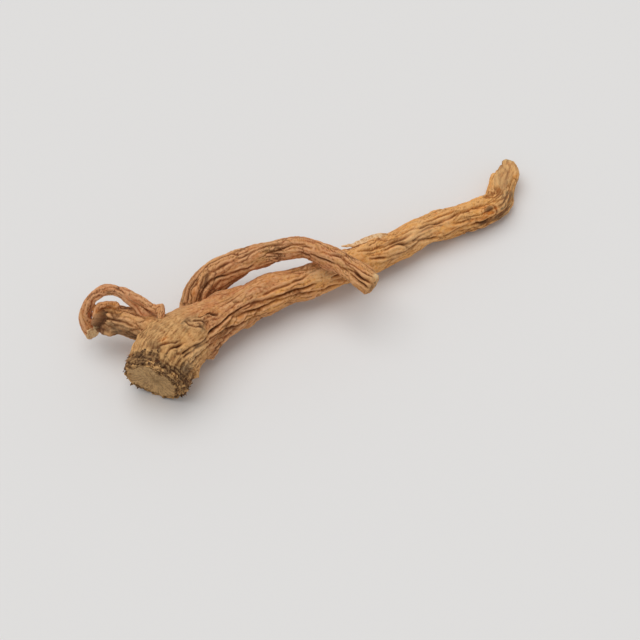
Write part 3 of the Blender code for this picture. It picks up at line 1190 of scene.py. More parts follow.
@dataclass(frozen=True)
class BarkFinish:
    """Dry wrinkled bark: tan, rosy and ochre by turns, with painted shade in its creases.

    Its colours come first, then the clouds that lay them on. The three spans give for the painted highlight
    on crests and the painted shade in hollows and creases where they start to show, where they show fully,
    and how strongly.

    Attributes:
        crust_cover: how strong the crust is where it hides the crests' painted highlight, and where it hides
            none.
        grooves: the size, depth and detail of its bumps along the grain.
        pits: the same for its bumps without a grain.
        warmth: how warm the ochre and pink stretches make the painted highlights and shade.
        darkness: how dark the dark stains are, the painted shade in the lateral's hollow end among them.
        roughness: how dull it is.
        shine: how strongly it reflects.
    """

    tan: str = "C99A5F"
    # Pale tone of streaks and fibres, also the painted highlight on the crests, in a rosy and a warm kind
    pale: str = "E8B878"
    rosy_pale_and_highlight: str = "E8AF82"
    pink: str = "C2764B"
    rose: str = "B26645"
    warm_pale_and_highlight: str = "F8C07A"
    ochre: str = "EFAC5C"
    ember: str = "E0822F"
    grey: str = "8A7150"
    crust: str = "54381F"
    crust_light: str = "9A754C"
    wood: str = "DDB47C"
    wood_dark: str = "AE845A"
    cream: str = "F4D09C"
    # Painted shade in the creases, plain and warm; the plain one also colours the dark stains
    crease: str = "4C2810"
    warm_crease_shade: str = "8E5020"
    speck: str = "94602F"
    # Multiplied into the hollows as painted shade
    hollow: str = "AC7442"
    pale_streaks: Cloud = Cloud(2.4, 0.36, 0.66, stretch=3.5)
    pink_streaks: Cloud = Cloud(1.9, 0.28, 0.56, stretch=3.5)
    ochre_streaks: Cloud = Cloud(2.6, 0.28, 0.56, stretch=3.5)
    rosy_blots: Cloud = Cloud(1.5, 0.50, 0.68, 0.7)
    ember_streaks: Cloud = Cloud(1.1, 0.28, 0.58, stretch=3.5)
    grey_streaks: Cloud = Cloud(1.1, 0.25, 0.55, stretch=3.5)
    light_fibres: Cloud = Cloud(0.6, 0.52, 0.70, 0.5, 9.0)
    dark_fibres: Cloud = Cloud(0.45, 0.55, 0.70, 0.5, 9.0)
    specks: Cloud = Cloud(0.8, 0.56, 0.66, 0.45, detail=2.0)
    flush: Cloud = Cloud(1.1, 0.55, 0.66, 0.55, 1.8)
    flecks: Cloud = Cloud(0.7, 0.58, 0.68, 0.6, 3.5, 2.0)
    crust_layers: Cloud = Cloud(2.2, 0.50, 0.62, stretch=0.33, detail=4.0)
    wood_fibres: Cloud = Cloud(0.9, 0.44, 0.62, stretch=9.0)
    cream_blots: Cloud = Cloud(0.9, 0.3, 0.5)
    crest_highlight: Triple = (0.1, 0.9, 0.65)
    hollow_shade: Triple = (0.2, 1.0, 0.6)
    crease_shade: Triple = (0.12, 0.85, 0.92)
    crust_cover: Pair = (1.6, 0.2)
    grooves: Triple = (0.8, 0.45, 4.0)
    pits: Triple = (0.6, 0.30, 4.0)
    warmth: float = 0.9
    darkness: float = 0.88
    roughness: float = 0.8
    shine: float = 0.28

    def material(self) -> bpy.types.Material:
        """Make the bark's nodes, from its streaks up to its wood."""
        nodes = Nodes("dry_bark")
        # The pale tone of fibres and flecks, which is also the painted highlight on the crests
        pale = nodes.blend(nodes.attribute(Stain.OCHRE.value), paint(self.pale), paint(self.warm_pale_and_highlight))
        rosy = nodes.times(nodes.attribute(Stain.PINK.value), self.warmth)
        pale = nodes.blend(rosy, pale, paint(self.rosy_pale_and_highlight))
        colour = nodes.blend(nodes.shown(self.pale_streaks), paint(self.tan), paint(self.pale))
        for stain, cloud, code in (
            (Stain.PINK, self.pink_streaks, self.pink),
            (Stain.OCHRE, self.ochre_streaks, self.ochre),
            (Stain.PINK, self.rosy_blots, self.rose),
            (Stain.EMBER, self.ember_streaks, self.ember),
            (Stain.GREY, self.grey_streaks, self.grey),
        ):
            colour = nodes.blend(nodes.stained(stain, cloud), colour, paint(code))
        colour = nodes.blend(nodes.shown(self.light_fibres), colour, pale)
        colour = nodes.blend(nodes.shown(self.dark_fibres), colour, paint(self.speck))
        colour = nodes.blend(nodes.shown(self.specks), colour, paint(self.speck))
        colour = nodes.blend(nodes.stained(Stain.OCHRE, self.flush), colour, paint(self.ember))
        colour = nodes.blend(nodes.shown(self.flecks), colour, pale)
        crusty = nodes.blend(nodes.shown(self.crust_layers), paint(self.crust), paint(self.crust_light))
        colour = nodes.blend(nodes.attribute(Stain.CRUST.value), colour, crusty)
        colour = self._shade(nodes, colour, pale)
        woody = nodes.blend(nodes.shown(self.wood_fibres), paint(self.wood), paint(self.wood_dark))
        colour = nodes.blend(nodes.attribute(Stain.WOOD.value), colour, woody)
        colour = nodes.blend(nodes.stained(Stain.CREAM, self.cream_blots), colour, paint(self.cream))
        for vector, (size, depth, detail) in (
            (nodes.along_grain(self.pale_streaks.stretch), self.grooves),
            (nodes.place(), self.pits),
        ):
            nodes.bump(nodes.cloud(vector, size, detail), depth, 1.0)
        return nodes.finish(colour, self.roughness, self.shine)

    def _shade(self, nodes: Nodes, colour: Socket,
               pale: Socket) -> Socket:
        """Paint highlights on crests and shade into hollows and creases, and darken the dark stains."""
        # Painted highlight on the crests, kept off the crust
        off_crust = nodes.span(nodes.attribute(Stain.CRUST.value), *self.crust_cover)
        crest = nodes.times(off_crust, nodes.span(nodes.attribute("crest"), *self.crest_highlight))
        colour = nodes.blend(crest, colour, pale)
        # Painted shade in the hollows
        hollow = nodes.span(nodes.attribute("hollow"), *self.hollow_shade)
        colour = nodes.blend(hollow, colour, paint(self.hollow), "MULTIPLY")
        # Painted shade in the creases, warmer in the ochre stretches
        warm = nodes.times(nodes.attribute(Stain.OCHRE.value), self.warmth)
        crease_colour = nodes.blend(warm, paint(self.crease), paint(self.warm_crease_shade))
        crease = nodes.span(nodes.attribute("crease"), *self.crease_shade)
        colour = nodes.blend(crease, colour, crease_colour)
        # Dark stains, the painted shade in the lateral's hollow end among them
        dark = nodes.times(nodes.attribute(Stain.DARK.value), self.darkness)
        return nodes.blend(dark, colour, paint(self.crease))


@dataclass(frozen=True)
class MottledFinish:
    """Two colours in soft blots, for what is too small to show more.

    Attributes:
        name: the finish's name.
        ground: the colour under the blots.
        blot: the colour of the blots.
        blots: how large they are and how much of them shows.
        grain_size: the size of its roughness.
        grain_depth: how deep that is.
        roughness: how dull it is.
        shine: how strongly it reflects.
    """

    name: str
    ground: str
    blot: str
    blots: Cloud = Cloud(0.9, 0.42, 0.62)
    grain_size: float = 0.4
    grain_depth: float = 0.08
    roughness: float = 0.8
    shine: float = 0.25

    def material(self) -> bpy.types.Material:
        """Make the finish's nodes."""
        nodes = Nodes(self.name)
        colour = nodes.blend(nodes.shown(self.blots), paint(self.ground), paint(self.blot))
        nodes.bump(nodes.cloud(nodes.place(), self.grain_size), self.grain_depth, 0.7)
        return nodes.finish(colour, self.roughness, self.shine)


LOOSE_BARK = MottledFinish("loose_bark", "EBC79A", "C48E58")
REDDISH_BARK = MottledFinish("reddish_bark", "CF935C", "A5663A")
CROWN_SCALE = MottledFinish("crown_scale", "503622", "96724A", Cloud(1.1, 0.45, 0.62), 0.25, 0.06, 0.85, 0.2)


class Surface:
    """The finished body's surface, for laying small pieces on it."""

    def __init__(self, shape: bpy.types.Object) -> None:
        """Read the surface of an object.

        Args:
            shape: the object.
        """
        self.tree = BVHTree.FromObject(shape, bpy.context.evaluated_depsgraph_get())

    def under(self, limb: Limb, along: float, angle: float) -> tuple[Vector, Vector]:
        """Find the bark at a place on a limb.

        Args:
            limb: the limb.
            along: distance along it.
            angle: angle round it, in degrees.

        Returns:
            The point on the bark in millimetres, and the limb's outward direction there.
        """
        start, outward = limb.at(along, angle, PROBE_START)
        hit = self.tree.ray_cast(start * MM, -outward)[0]
        point = hit / MM if hit else limb.at(along, angle, PROBE_MISS)[0]
        return point, outward


@dataclass(frozen=True)
class LooseBark:
    """A strip of bark that stands off the limb.

    Attributes:
        name: the piece's name.
        limb: the limb that it is on.
        course: its places from end to end: distance along, angle, height above the bark, half its width.
        thickness: how thick it is.
        curl: how far its edges stand up.
        tilt: how far it is turned about its own length, towards the front, in degrees.
        spacing: distance between the rows of its grid.
        fraying: how much the width of its edges varies.
    """

    name: str
    limb: Limb
    course: Rows
    thickness: float = 0.35
    curl: float = 0.3
    tilt: float = 0.0
    spacing: float = 0.5
    fraying: float = 0.25

    def build(self, surface: Surface) -> bpy.types.Object:
        """Lay a grid over the strip's course, then thicken and round it."""
        bpy.ops.object.select_all(action="DESELECT")
        rows = smooth_path(self.course, self.spacing, 1)
        bpy.ops.mesh.primitive_grid_add(x_subdivisions=len(rows) - 1, y_subdivisions=6, size=2)
        strip = bpy.context.active_object
        strip.name = self.name
        middle = []
        for along, angle, lift, half_width in rows.tolist():
            point, outward = surface.under(self.limb, along, angle)
            middle.append((point + lift * outward, outward, half_width))
        onward = [(middle[min(i + 1, len(middle) - 1)][0] - middle[max(i - 1, 0)][0]).normalized()
                  for i in range(len(middle))]
        for vertex in strip.data.vertices:
            step = round((vertex.co.x + 1) / 2 * (len(rows) - 1))
            share = vertex.co.y
            point, outward, half_width = middle[step]
            outward = Matrix.Rotation(math.radians(self.tilt), 3, onward[step]) @ outward
            across = onward[step].cross(outward)
            ragged = 1 + self.fraying * noise.noise(Vector((step * 0.7, round(share) * 3.0, 1.0)))
            raised = self.curl * half_width * share**2
            vertex.co = (point + ragged * half_width * share * across + raised * outward) * MM
        apply_modifier(strip, "SOLIDIFY", thickness=self.thickness * MM, offset=0.0)
        apply_modifier(strip, "SUBSURF", levels=1, render_levels=1)
        choose(strip)
        bpy.ops.object.shade_smooth()
        return strip


@dataclass(frozen=True)
class Scattered:
    """Small pieces of one pattern, scattered over a limb and joined.

    Attributes:
        name: the joined piece's name.
        limb: the limb that they are on.
        count: how many places are drawn. Those too close to the floor are skipped.
        length: length of the pattern.
        thickness: its thickness.
        clearance: how far above the floor they start.
        seed: where the random numbers start.
    """

    name: str
    limb: Limb
    count: int
    length: float
    thickness: float
    clearance: float
    seed: int

    def _pattern(self) -> bpy.types.Object:
        """Model the pattern, at the origin. Each kind has its own."""
        raise NotImplementedError

    def _placement(self, surface: Surface, draw: random.Random) -> Matrix | None:
        """Draw one place, turn and size, or nothing where it is too low. Each kind has its own."""
        raise NotImplementedError

    def build(self, surface: Surface) -> bpy.types.Object:
        """Copy the pattern to every place that is drawn, and join the copies."""
        pattern = self._pattern()
        draw = random.Random(self.seed)
        copies = []
        for _ in range(self.count):
            placement = self._placement(surface, draw)
            if placement is not None:
                copy = pattern.copy()
                copy.data = pattern.data.copy()
                bpy.context.scene.collection.objects.link(copy)
                copy.matrix_world = placement
                copies.append(copy)
        bpy.data.objects.remove(pattern)
        scattered = join(copies, self.name)
        apply_place(scattered)
        return scattered


@dataclass(frozen=True)
class CrownScales(Scattered):
    """Ragged scales in a band behind the crown's cut.

    Attributes:
        width: width of one scale.
        profile: for each of its steps, how far it rises and what it leaves of the width.
        band: how far the band reaches from the crown.
        crowding: how much closer to the crown most of them are.
        margin: how far behind the cut the first one lies.
        look_ahead: how far further on the bark is felt for its slope.
        forward_share: what share of them points towards the crown.
        turning: how far they turn aside.
        lift: how far they lean forwards or back.
        sizes: the smallest and the largest size of a copy.
    """

    width: float = 0.9
    profile: Rows = ((0.04, 0.95), (0.12, 0.75), (0.26, 0.35))
    band: float = 4.2
    crowding: float = 1.4
    margin: float = 0.3
    look_ahead: float = 1.2
    forward_share: float = 0.7
    turning: float = 0.5
    lift: Pair = (-0.1, 0.35)
    sizes: Pair = (0.45, 1.15)

    def _pattern(self) -> bpy.types.Object:
        """Model one scale: a plate that narrows and curls up towards its tip."""
        bpy.ops.object.select_all(action="DESELECT")
        bpy.ops.mesh.primitive_plane_add(size=1)
        scale = bpy.context.active_object
        stride = self.length / (len(self.profile) + 1) * MM
        scale.scale = (stride, self.width * MM, 1)
        apply_place(scale)
        bpy.ops.object.mode_set(mode="EDIT")
        for rise, narrow in self.profile:
            bpy.ops.mesh.select_all(action="DESELECT")
            mesh = bmesh.from_edit_mesh(scale.data)
            reach = max(vertex.co.x for vertex in mesh.verts)
            for vertex in mesh.verts:
                vertex.select = vertex.co.x > reach - stride / 2
            mesh.select_flush(True)
            bmesh.update_edit_mesh(scale.data)
            step = (stride, 0, rise * self.length * MM)
            bpy.ops.mesh.extrude_region_move(TRANSFORM_OT_translate={"value": step})
            bpy.ops.transform.resize(value=(1, narrow, 1))
        bpy.ops.object.mode_set(mode="OBJECT")
        apply_modifier(scale, "SOLIDIFY", thickness=self.thickness * MM, offset=0.0)
        return scale

    def _placement(self, surface: Surface, draw: random.Random) -> Matrix | None:
        """Draw one scale's place behind the cut, its lean and its size."""
        along = self.margin + self.band * draw.random() ** self.crowding
        angle = draw.uniform(-180, 180)
        point, outward = surface.under(self.limb, along, angle)
        if point.z < self.clearance:
            return None
        ahead = surface.under(self.limb, along + self.look_ahead, angle)[0] - point
        tip = -ahead.normalized() if draw.random() < self.forward_share else ahead.normalized()
        tip = (tip + self.turning * draw.uniform(-1, 1) * tip.cross(outward)).normalized()
        up = (outward + draw.uniform(*self.lift) * tip).normalized()
        tip = (tip - tip.dot(up) * up).normalized()
        turn = Matrix((tip, up.cross(tip), up)).transposed().to_4x4()
        size = draw.uniform(*self.sizes)
        return Matrix.Translation(point * MM) @ turn @ Matrix.Diagonal((size, size, size, 1))


@dataclass(frozen=True)
class Fibres(Scattered):
    """Fine dry fibres that stand out of the bark.

    Attributes:
        reach: the first and last distance along the limb.
        lean: how far they lean over, from 0 for upright to 1 for flat.
        steps: in how many steps a fibre is drawn out.
        bend: how far it bends over its length.
        sway: how far it sways aside, as a share of its bend.
        taper: what each step leaves of its thickness.
        lengths: the smallest and the largest share of its length in a copy.
        rooting: how deep its base lies in the bark.
        look_ahead: how far further on the bark is felt for its slope.
        onward: how far they point back towards the crown, and how far away from it.
    """

    reach: Pair
    lean: float
    steps: int = 7
    bend: float = 0.16
    sway: float = 0.3
    taper: float = 0.84
    lengths: Pair = (0.4, 1.0)
    rooting: float = 0.15
    look_ahead: float = 1.0
    onward: Pair = (-1, 0.4)

    def _pattern(self) -> bpy.types.Object:
        """Model one fibre: a thin hoop drawn out, bent and narrowed step by step."""
        bpy.ops.object.select_all(action="DESELECT")
        bpy.ops.mesh.primitive_circle_add(vertices=5, radius=self.thickness / 2 * MM, fill_type="NGON")
        fibre = bpy.context.active_object
        bpy.ops.object.mode_set(mode="EDIT")
        bpy.ops.mesh.select_all(action="SELECT")
        for step in range(self.steps):
            bend = self.bend * step / self.steps * self.length
            aside = self.sway * bend * math.sin(step)
            move = (bend * MM, aside * MM, self.length / self.steps * MM)
            bpy.ops.mesh.extrude_region_move(TRANSFORM_OT_translate={"value": move})
            bpy.ops.transform.resize(value=(self.taper, self.taper, self.taper))
        bpy.ops.mesh.select_all(action="SELECT")
        bpy.ops.mesh.normals_make_consistent(inside=False)
        bpy.ops.object.mode_set(mode="OBJECT")
        return fibre

    def _placement(self, surface: Surface, draw: random.Random) -> Matrix | None:
        """Draw one fibre's place, the way it lies and its length."""
        along = draw.uniform(*self.reach)
        angle = draw.uniform(-180, 180)
        point, outward = surface.under(self.limb, along, angle)
        if point.z < self.clearance:
            return None
        onward = (surface.under(self.limb, along + self.look_ahead, angle)[0] - point).normalized()
        sideways = onward.cross(outward) * draw.uniform(-1, 1) + onward * draw.uniform(*self.onward)
        stem = ((1 - self.lean) * outward + self.lean * sideways.normalized()).normalized()
        across = stem.cross(outward + 0.01 * onward).normalized()
        turn = Matrix((across.cross(stem), across, stem)).transposed().to_4x4()
        base = (point - self.rooting * outward) * MM
        return Matrix.Translation(base) @ turn @ Matrix.Diagonal((1, 1, draw.uniform(*self.lengths), 1))


@dataclass(frozen=True)
class Studio:
    """A pale floor, soft light from behind on the left, and the camera.

    Attributes:
        aim: the point on the floor in the middle of the picture.
        heading: the way the camera faces, in degrees from +Y towards +X.
        elevation: how far it looks down, in degrees.
        distance: how far it is from its aim.
        lens: its focal length.
        floor_colour: colour of the floor.
        floor_size: width of the floor.
        floor_roughness: how dull it is.
        floor_shine: how strongly it reflects.
        key_strength: strength of the main light.
        key_angle: how wide it looks, in degrees, which softens the shadows.
        key_side: where the main light is, as shares forwards, to the right and up.
        fill_strength: strength of the light from all round.
    """

    aim: Triple = (-12.2, -15.2, 0.0)
    heading: float = 39.0
    elevation: float = 55.0
    distance: float = 480.0
    lens: float = 90.0
    floor_colour: Colour = (0.785, 0.775, 0.765, 1.0)
    floor_size: float = 6000.0
    floor_roughness: float = 0.9
    floor_shine: float = 0.1
    key_strength: float = 1.45
    key_angle: float = 60.0
    key_side: Triple = (0.25, -0.32, 1.25)
    fill_strength: float = 0.50

    def _directions(self) -> tuple[Vector, Vector]:
        """Give the camera's forward and rightward directions over the floor."""
        turn = math.radians(self.heading)
        return Vector((math.sin(turn), math.cos(turn), 0)), Vector((math.cos(turn), -math.sin(turn), 0))

    def build(self) -> None:
        """Lay the floor, hang the lights and set the camera."""
        self._lay_floor()
        self._hang_lights()
        self._set_camera()
        bpy.context.scene.view_settings.view_transform = "Standard"
        bpy.context.scene.view_settings.look = "None"

    def _lay_floor(self) -> None:
        """Lay a plain pale floor."""
        bpy.ops.object.select_all(action="DESELECT")
        bpy.ops.mesh.primitive_plane_add(size=self.floor_size * MM)
        floor = bpy.context.active_object
        floor.name = "floor"
        finish = Nodes("pale_floor").finish(self.floor_colour, self.floor_roughness, self.floor_shine)
        floor.data.materials.append(finish)

    def _hang_lights(self) -> None:
        """Light the floor from all round and, more strongly, from behind on the left."""
        world = bpy.data.worlds.new("soft_room")
        bpy.context.scene.world = world
        world.use_nodes = True
        world.node_tree.nodes["Background"].inputs["Color"].default_value = (1.0, 1.0, 1.0, 1.0)
        world.node_tree.nodes["Background"].inputs["Strength"].default_value = self.fill_strength
        light = bpy.data.lights.new("key", "SUN")
        light.energy = self.key_strength
        light.angle = math.radians(self.key_angle)
        key = bpy.data.objects.new("key", light)
        bpy.context.scene.collection.objects.link(key)
        forward, right = self._directions()
        ahead, aside, above = self.key_side
        towards = (ahead * forward + aside * right + above * UP).normalized()
        key.rotation_euler = towards.to_track_quat("Z", "Y").to_euler()

    def _set_camera(self) -> None:
        """Look at the root from the photograph's side."""
        forward, _ = self._directions()
        rise = math.radians(self.elevation)
        look = math.cos(rise) * forward - math.sin(rise) * UP
        camera_data = bpy.data.cameras.new("camera")
        camera_data.lens = self.lens
        camera_data.sensor_width = 36.0
        camera_data.clip_start = 0.01
        camera_data.clip_end = 20.0
        camera = bpy.data.objects.new("camera", camera_data)
        camera.location = (Vector(self.aim) - self.distance * look) * MM
        camera.rotation_euler = look.to_track_quat("-Z", "Y").to_euler()
        bpy.context.scene.collection.objects.link(camera)
        bpy.context.scene.camera = camera


def main_root() -> MainRoot:
    """Describe the main root."""
    return MainRoot(
        name="main_root",
        axis=(
            (-66.2, -7.1, 9.2, 18.3),
            (-63.5, -5.3, 9.5, 19.3),
            (-59.1, -2.7, 9.5, 19.5),
            (-49.9, -0.3, 9.2, 17.7),
            (-44.3, -0.5, 8.7, 15.0),
            (-39.0, -0.7, 8.5, 12.9),
            (-31.3, -1.2, 8.3, 12.0),
            (-22.2, -2.5, 8.1, 11.4),
            (-14.8, -4.2, 7.9, 10.5),
            (-7.7, -6.8, 7.7, 9.6),
            (1.3, -8.6, 7.4, 9.3),
            (11.9, -10.5, 7.0, 10.2),
            (19.9, -11.9, 6.5, 9.6),
            (28.5, -12.3, 6.0, 8.7),
            (37.2, -14.0, 5.4, 9.0),
            (45.5, -16.0, 4.8, 9.0),
            (52.3, -17.7, 4.2, 8.9),
            (58.1, -17.1, 3.8, 8.6),
            (63.4, -12.8, 4.2, 8.7),
            (67.2, -10.5, 4.6, 7.9),
            (70.0, -8.3, 4.8, 5.4),
        ),
        start=CUT_DISC,
        end=TONGUE_END,
        wooden_end=True,
        nets=(Net(3.0, 5.0, 0.46), Net(1.6, 4.5, 0.30), Net(3.2, 1.5, 0.30)),
        folds=(Folds(10, 0.30, 0.4), Folds(7, 0.30, 2.2)),
        furrows=(
            Furrow(1.2, 0.45, ((0, 18), (6, 37), (12, 46), (17, 54), (22, 50), (28, 44), (33, 37),
                               (38, 33))),
            Furrow(0.8, 0.38, ((37, 34), (41, 42), (46, 52), (52, 54), (57, 58), (61, 49), (68, 51),
                               (74, 46))),
            Furrow(0.9, 0.45, ((2, 42), (9, 49), (14, 55), (18, 61), (24, 63), (30, 68))),
            Furrow(1.1, 0.45, ((31, 48), (35, 56), (40, 62), (46, 62), (52, 71), (58, 80), (63, 90),
                               (70, 86))),
            Furrow(0.8, 0.45, ((4, 62), (11, 69), (17, 75), (24, 82), (29, 90))),
            Furrow(0.7, 0.38, ((22, 69), (30, 72), (36, 82), (44, 90))),
            Furrow(0.8, 0.38, ((43, 31), (50, 29), (55, 26), (60, 8), (63, 1))),
            Furrow(0.8, 0.45, ((4, 16), (9, 26), (13, 36))),
            Furrow(0.6, 0.38, ((5, 0), (8, 14), (11, 24))),
            Furrow(0.6, 0.38, ((31, 4), (37, -2), (42, -10))),
            Furrow(0.8, 0.38, ((76, 3), (83, 14), (87, 17), (94, 22))),
            Furrow(1.0, 0.38, ((78, 44), (84, 57), (90, 67), (97, 68), (103, 82), (108, 77), (116, 74),
                               (123, 66))),
            Furrow(0.8, 0.38, ((90, -6), (97, 12), (102, 20), (107, 18), (115, 12))),
            Furrow(0.6, 0.38, ((83, 26), (89, 33), (92, 50), (98, 44))),
            Furrow(0.6, 0.38, ((108, 44), (112, 52), (120, 55))),
            Furrow(0.5, 0.34, ((13, 36), (17, 48), (21, 50), (26, 46))),
            Furrow(0.25, 0.45, ((33, 6), (36, 22), (39, 26), (40, 14))),
            Furrow(0.6, 0.36, ((122, 12), (123, 34), (123, 53), (122, 72), (120, 100))),
            Furrow(0.4, 0.34, ((84, 20), (92, 24), (100, 29), (106, 34), (110, 46))),
            Furrow(0.4, 0.34, ((99, 3), (105, -4), (109, 2), (115, 13))),
            Furrow(1.2, 0.3, ((74, -43), (75, -35), (78, -27), (81, -22))),
            Furrow(0.5, 0.34, ((88, 36), (93, 45), (96, 60), (101, 60), (104, 56))),
            Furrow(0.4, 0.36, ((46, 58), (51, 53), (57, 58))),
            Furrow(0.6, 0.38, ((60, 109), (61, 95), (63, 86), (67, 84))),
            Furrow(0.35, 0.3, ((62, -16), (62.4, 12), (62, 36))),
            Furrow(0.35, 0.3, ((64, 16), (64.4, 33), (64, 45))),
            Furrow(0.6, 0.34, ((84, 27), (89, 33), (90, 50), (91, 65))),
            Furrow(0.5, 0.34, ((112, 53), (118, 55))),
            Furrow(0.5, 0.3, ((21, 11), (24, 6), (25, 9), (26, 15), (27, 22))),
            Furrow(0.45, 0.32, ((17, 5), (16.6, 14), (17.5, 24), (19, 31))),
            Furrow(0.5, 0.30, ((18.5, 14), (20.5, 19), (22, 27))),
            Furrow(0.5, 0.3, ((41, -17), (42, -5), (43, 4), (44, 11))),
        ),
        marks=(
            Mark(8, 180, 4.5, 0.9),
            Mark(18, 30, 3.6, 0.7),
            Mark(43, -9, 1.0, -0.5),
            Mark(43, -9, 2.4, 0.5),
            Mark(119, 34, 1.6, 0.6),
            Mark(76, 22, 2.2, 0.5),
            Mark(101, 66, 1.2, -0.4),
            Mark(23, 7, 2.4, 0.6),
            Mark(22, 119, 1.6, 0.9),
            Mark(37, 124, 1.5, 0.8),
            Mark(9, 100, 2.0, 0.9),
            Mark(64, -120, 3.0, 0.8),
            Mark(96, -95, 2.2, 0.7),
            Mark(31, -70, 3.0, 0.8),
        ),
        tones={
            Stain.PINK: ((0, 0.1), (14, 0.3), (26, 0.85), (56, 0.8), (66, 0.5), (85, 0.45), (124, 0.3),
                         (143, 0.1)),
            Stain.OCHRE: ((0, 0.15), (35, 0.2), (58, 0.4), (66, 0.8), (120, 1.0), (143, 0.8)),
            Stain.CRUST: ((-0.6, 0.0), (-0.1, 1.0), (2.0, 0.95), (3.6, 0.35), (5.5, 0.0)),
        },
        patches=(
            Patch(Stain.EMBER, 8, 4, 2.0, 1.2),
            Patch(Stain.EMBER, 121.5, 46, 2.8, 1.5, 1.0),
            Patch(Stain.EMBER, 119.5, 22, 1.8, 0.8, 0.8),
            Patch(Stain.EMBER, 116, 66, 2.6, 0.8, 0.7),
            Patch(Stain.EMBER, 99, 30, 9.0, 0.7, 0.6),
            Patch(Stain.EMBER, 105, 60, 10.0, 0.7, 0.6),
            Patch(Stain.EMBER, 70, 80, 6.0, 1.5, 0.5),
            Patch(Stain.OCHRE, 48, 64, 22.0, 3.2, 0.8),
            Patch(Stain.DARK, 5.5, -6, 1.2, 2.4, 0.5),
            Patch(Stain.DARK, 19, 30, 0.8, 0.7, 0.8),
            Patch(Stain.DARK, 21.5, 25, 0.9, 0.6, 0.8),
            Patch(Stain.DARK, 17.5, 8, 0.7, 0.8, 0.6),
            Patch(Stain.EMBER, 24, 8, 2.0, 1.1, 0.8),
            Patch(Stain.GREY, 9, -30, 9.0, 6.0, 0.5),
            Patch(Stain.CREAM, 64, 22, 5.0, 3.0, 0.45),
            Patch(Stain.CREAM, 95, 40, 9.0, 3.5, 0.35),
            Patch(Stain.CREAM, 12, 62, 6.0, 2.0, 0.3),
            Patch(Stain.GREY, 19, 20, 4.0, 3.0, 0.6),
            Patch(Stain.GREY, 126, 70, 3.6, 3.6, 1.2),
            Patch(Stain.GREY, 131, 30, 4.0, 5.0, 0.7),
            Patch(Stain.DARK, 121, 33, 1.2, 0.7, 0.9),
            Patch(Stain.DARK, 119, 80, 1.8, 0.9, 0.9),
            Patch(Stain.DARK, 123, 92, 2.6, 1.2, 0.6),
        ),
        calm_patches=((13, 0, 11, 10, 0.65), (40, -8, 24, 5, 0.5), (112, 15, 26, 4, 0.2)),
        splinters=((136.5, 1.4), (138.6, 0.6), (140.8, 0.5)),
        breaks=(
            Break((66.0, -11.4, 6.9), (0.14, 0.05, 1.0), 130.0, False, 0.0, 0.35,
                  ((Stain.WOOD, 0.6), (Stain.OCHRE, 1.0), (Stain.EMBER, 0.3))),
        ),
    )


def arch() -> Limb:
    """Describe the branch that arches back over the main root."""
    return Limb(
        name="arch",
        axis=(
            (-48.2, 4.9, 6.0, 7.2),
            (-43.5, 7.5, 3.9, 8.4),
            (-40.0, 9.7, 3.5, 8.8),
            (-36.4, 11.2, 8.2, 9.3),
            (-31.8, 11.1, 11.2, 8.7),
            (-25.2, 8.9, 13.4, 7.5),
            (-17.4, 5.8, 15.0, 7.0),
            (-11.2, 2.5, 16.2, 6.6),
            (-6.7, -1.4, 17.0, 6.3),
            (-3.6, -7.9, 17.3, 6.6),
            (-1.2, -15.7, 16.8, 6.9),
            (0.6, -23.1, 15.6, 6.9),
        ),
        nets=(Net(2.5, 4.5, 0.38), Net(1.3, 3.5, 0.22), Net(3.0, 1.5, 0.26)),
        folds=(Folds(7, 0.30, 1.3),),
        furrows=(
            Furrow(0.7, 0.38, ((22, 20), (34, 10), (41, 0), (46, 12), (50, 26), (54, 32))),
            Furrow(0.9, 0.38, ((40, 46), (46, 60), (49, 64), (54, 80))),
            Furrow(1.0, 0.36, ((58, 26), (61, 14), (63, 0), (66, 3), (69, 2), (74, -2))),
            Furrow(1.1, 0.36, ((66, 34), (69, 35), (71, 34), (75, 26))),
            Furrow(1.1, 0.36, ((68, 52), (70, 53), (72, 55), (75, 59))),
            Furrow(0.8, 0.34, ((60, 25), (62, 10), (66, 18), (68, 23), (71, 30), (74, 24))),
            Furrow(0.7, 0.34, ((54, 60), (57, 63), (60, 58), (64, 46), (68, 48))),
            Furrow(0.8, 0.34, ((38, 27), (41, 38), (43, 30), (47, 21), (51, 16))),
            Furrow(0.8, 0.38, ((10, 20), (18, 35), (26, 60), (34, 75))),
            Furrow(0.7, 0.38, ((8, -30), (16, -15), (24, -20), (32, -45))),
        ),
        tones={
            Stain.PINK: ((0, 0.4), (12, 0.7), (60, 0.95), (70, 0.75), (75, 0.5)),
            Stain.OCHRE: ((0, 0.1), (50, 0.2), (66, 0.4), (75, 0.5)),
            Stain.GREY: ((0, 0.5), (12, 0.35), (20, 0.0), (75, 0.0)),
        },
        patches=(Patch(Stain.EMBER, 17, 10, 1.8, 1.3, 0.9), Patch(Stain.CREAM, 74, -35, 1.0, 2.0, 1.0)),
        breaks=(
            Break((0.8, -24.3, 15.4), (0.28, -1.0, -0.12), 70.0, True, 0.7, 0.5, ((Stain.WOOD, 0.8),)),
        ),
        fillet_length=12.0,
    )


def strand() -> Limb:
    """Describe the strand that runs up the underside of the arch."""
    return Limb(
        name="strand",
        axis=(
            (-39.7, 8.3, 4.5, 4.2),
            (-34.6, 8.5, 7.0, 4.0),
            (-29.2, 7.9, 9.8, 3.6),
            (-23.2, 6.5, 11.6, 2.8),
        ),
        end=BURIED_END,
        nets=(Net(1.4, 5.0, 0.2),),
        tones={Stain.PINK: ((0, 0.8), (20, 0.8)), Stain.GREY: ((0, 0.4), (8, 0.1), (20, 0.0))},
        fillet_length=3.0,
        sides=16,
    )


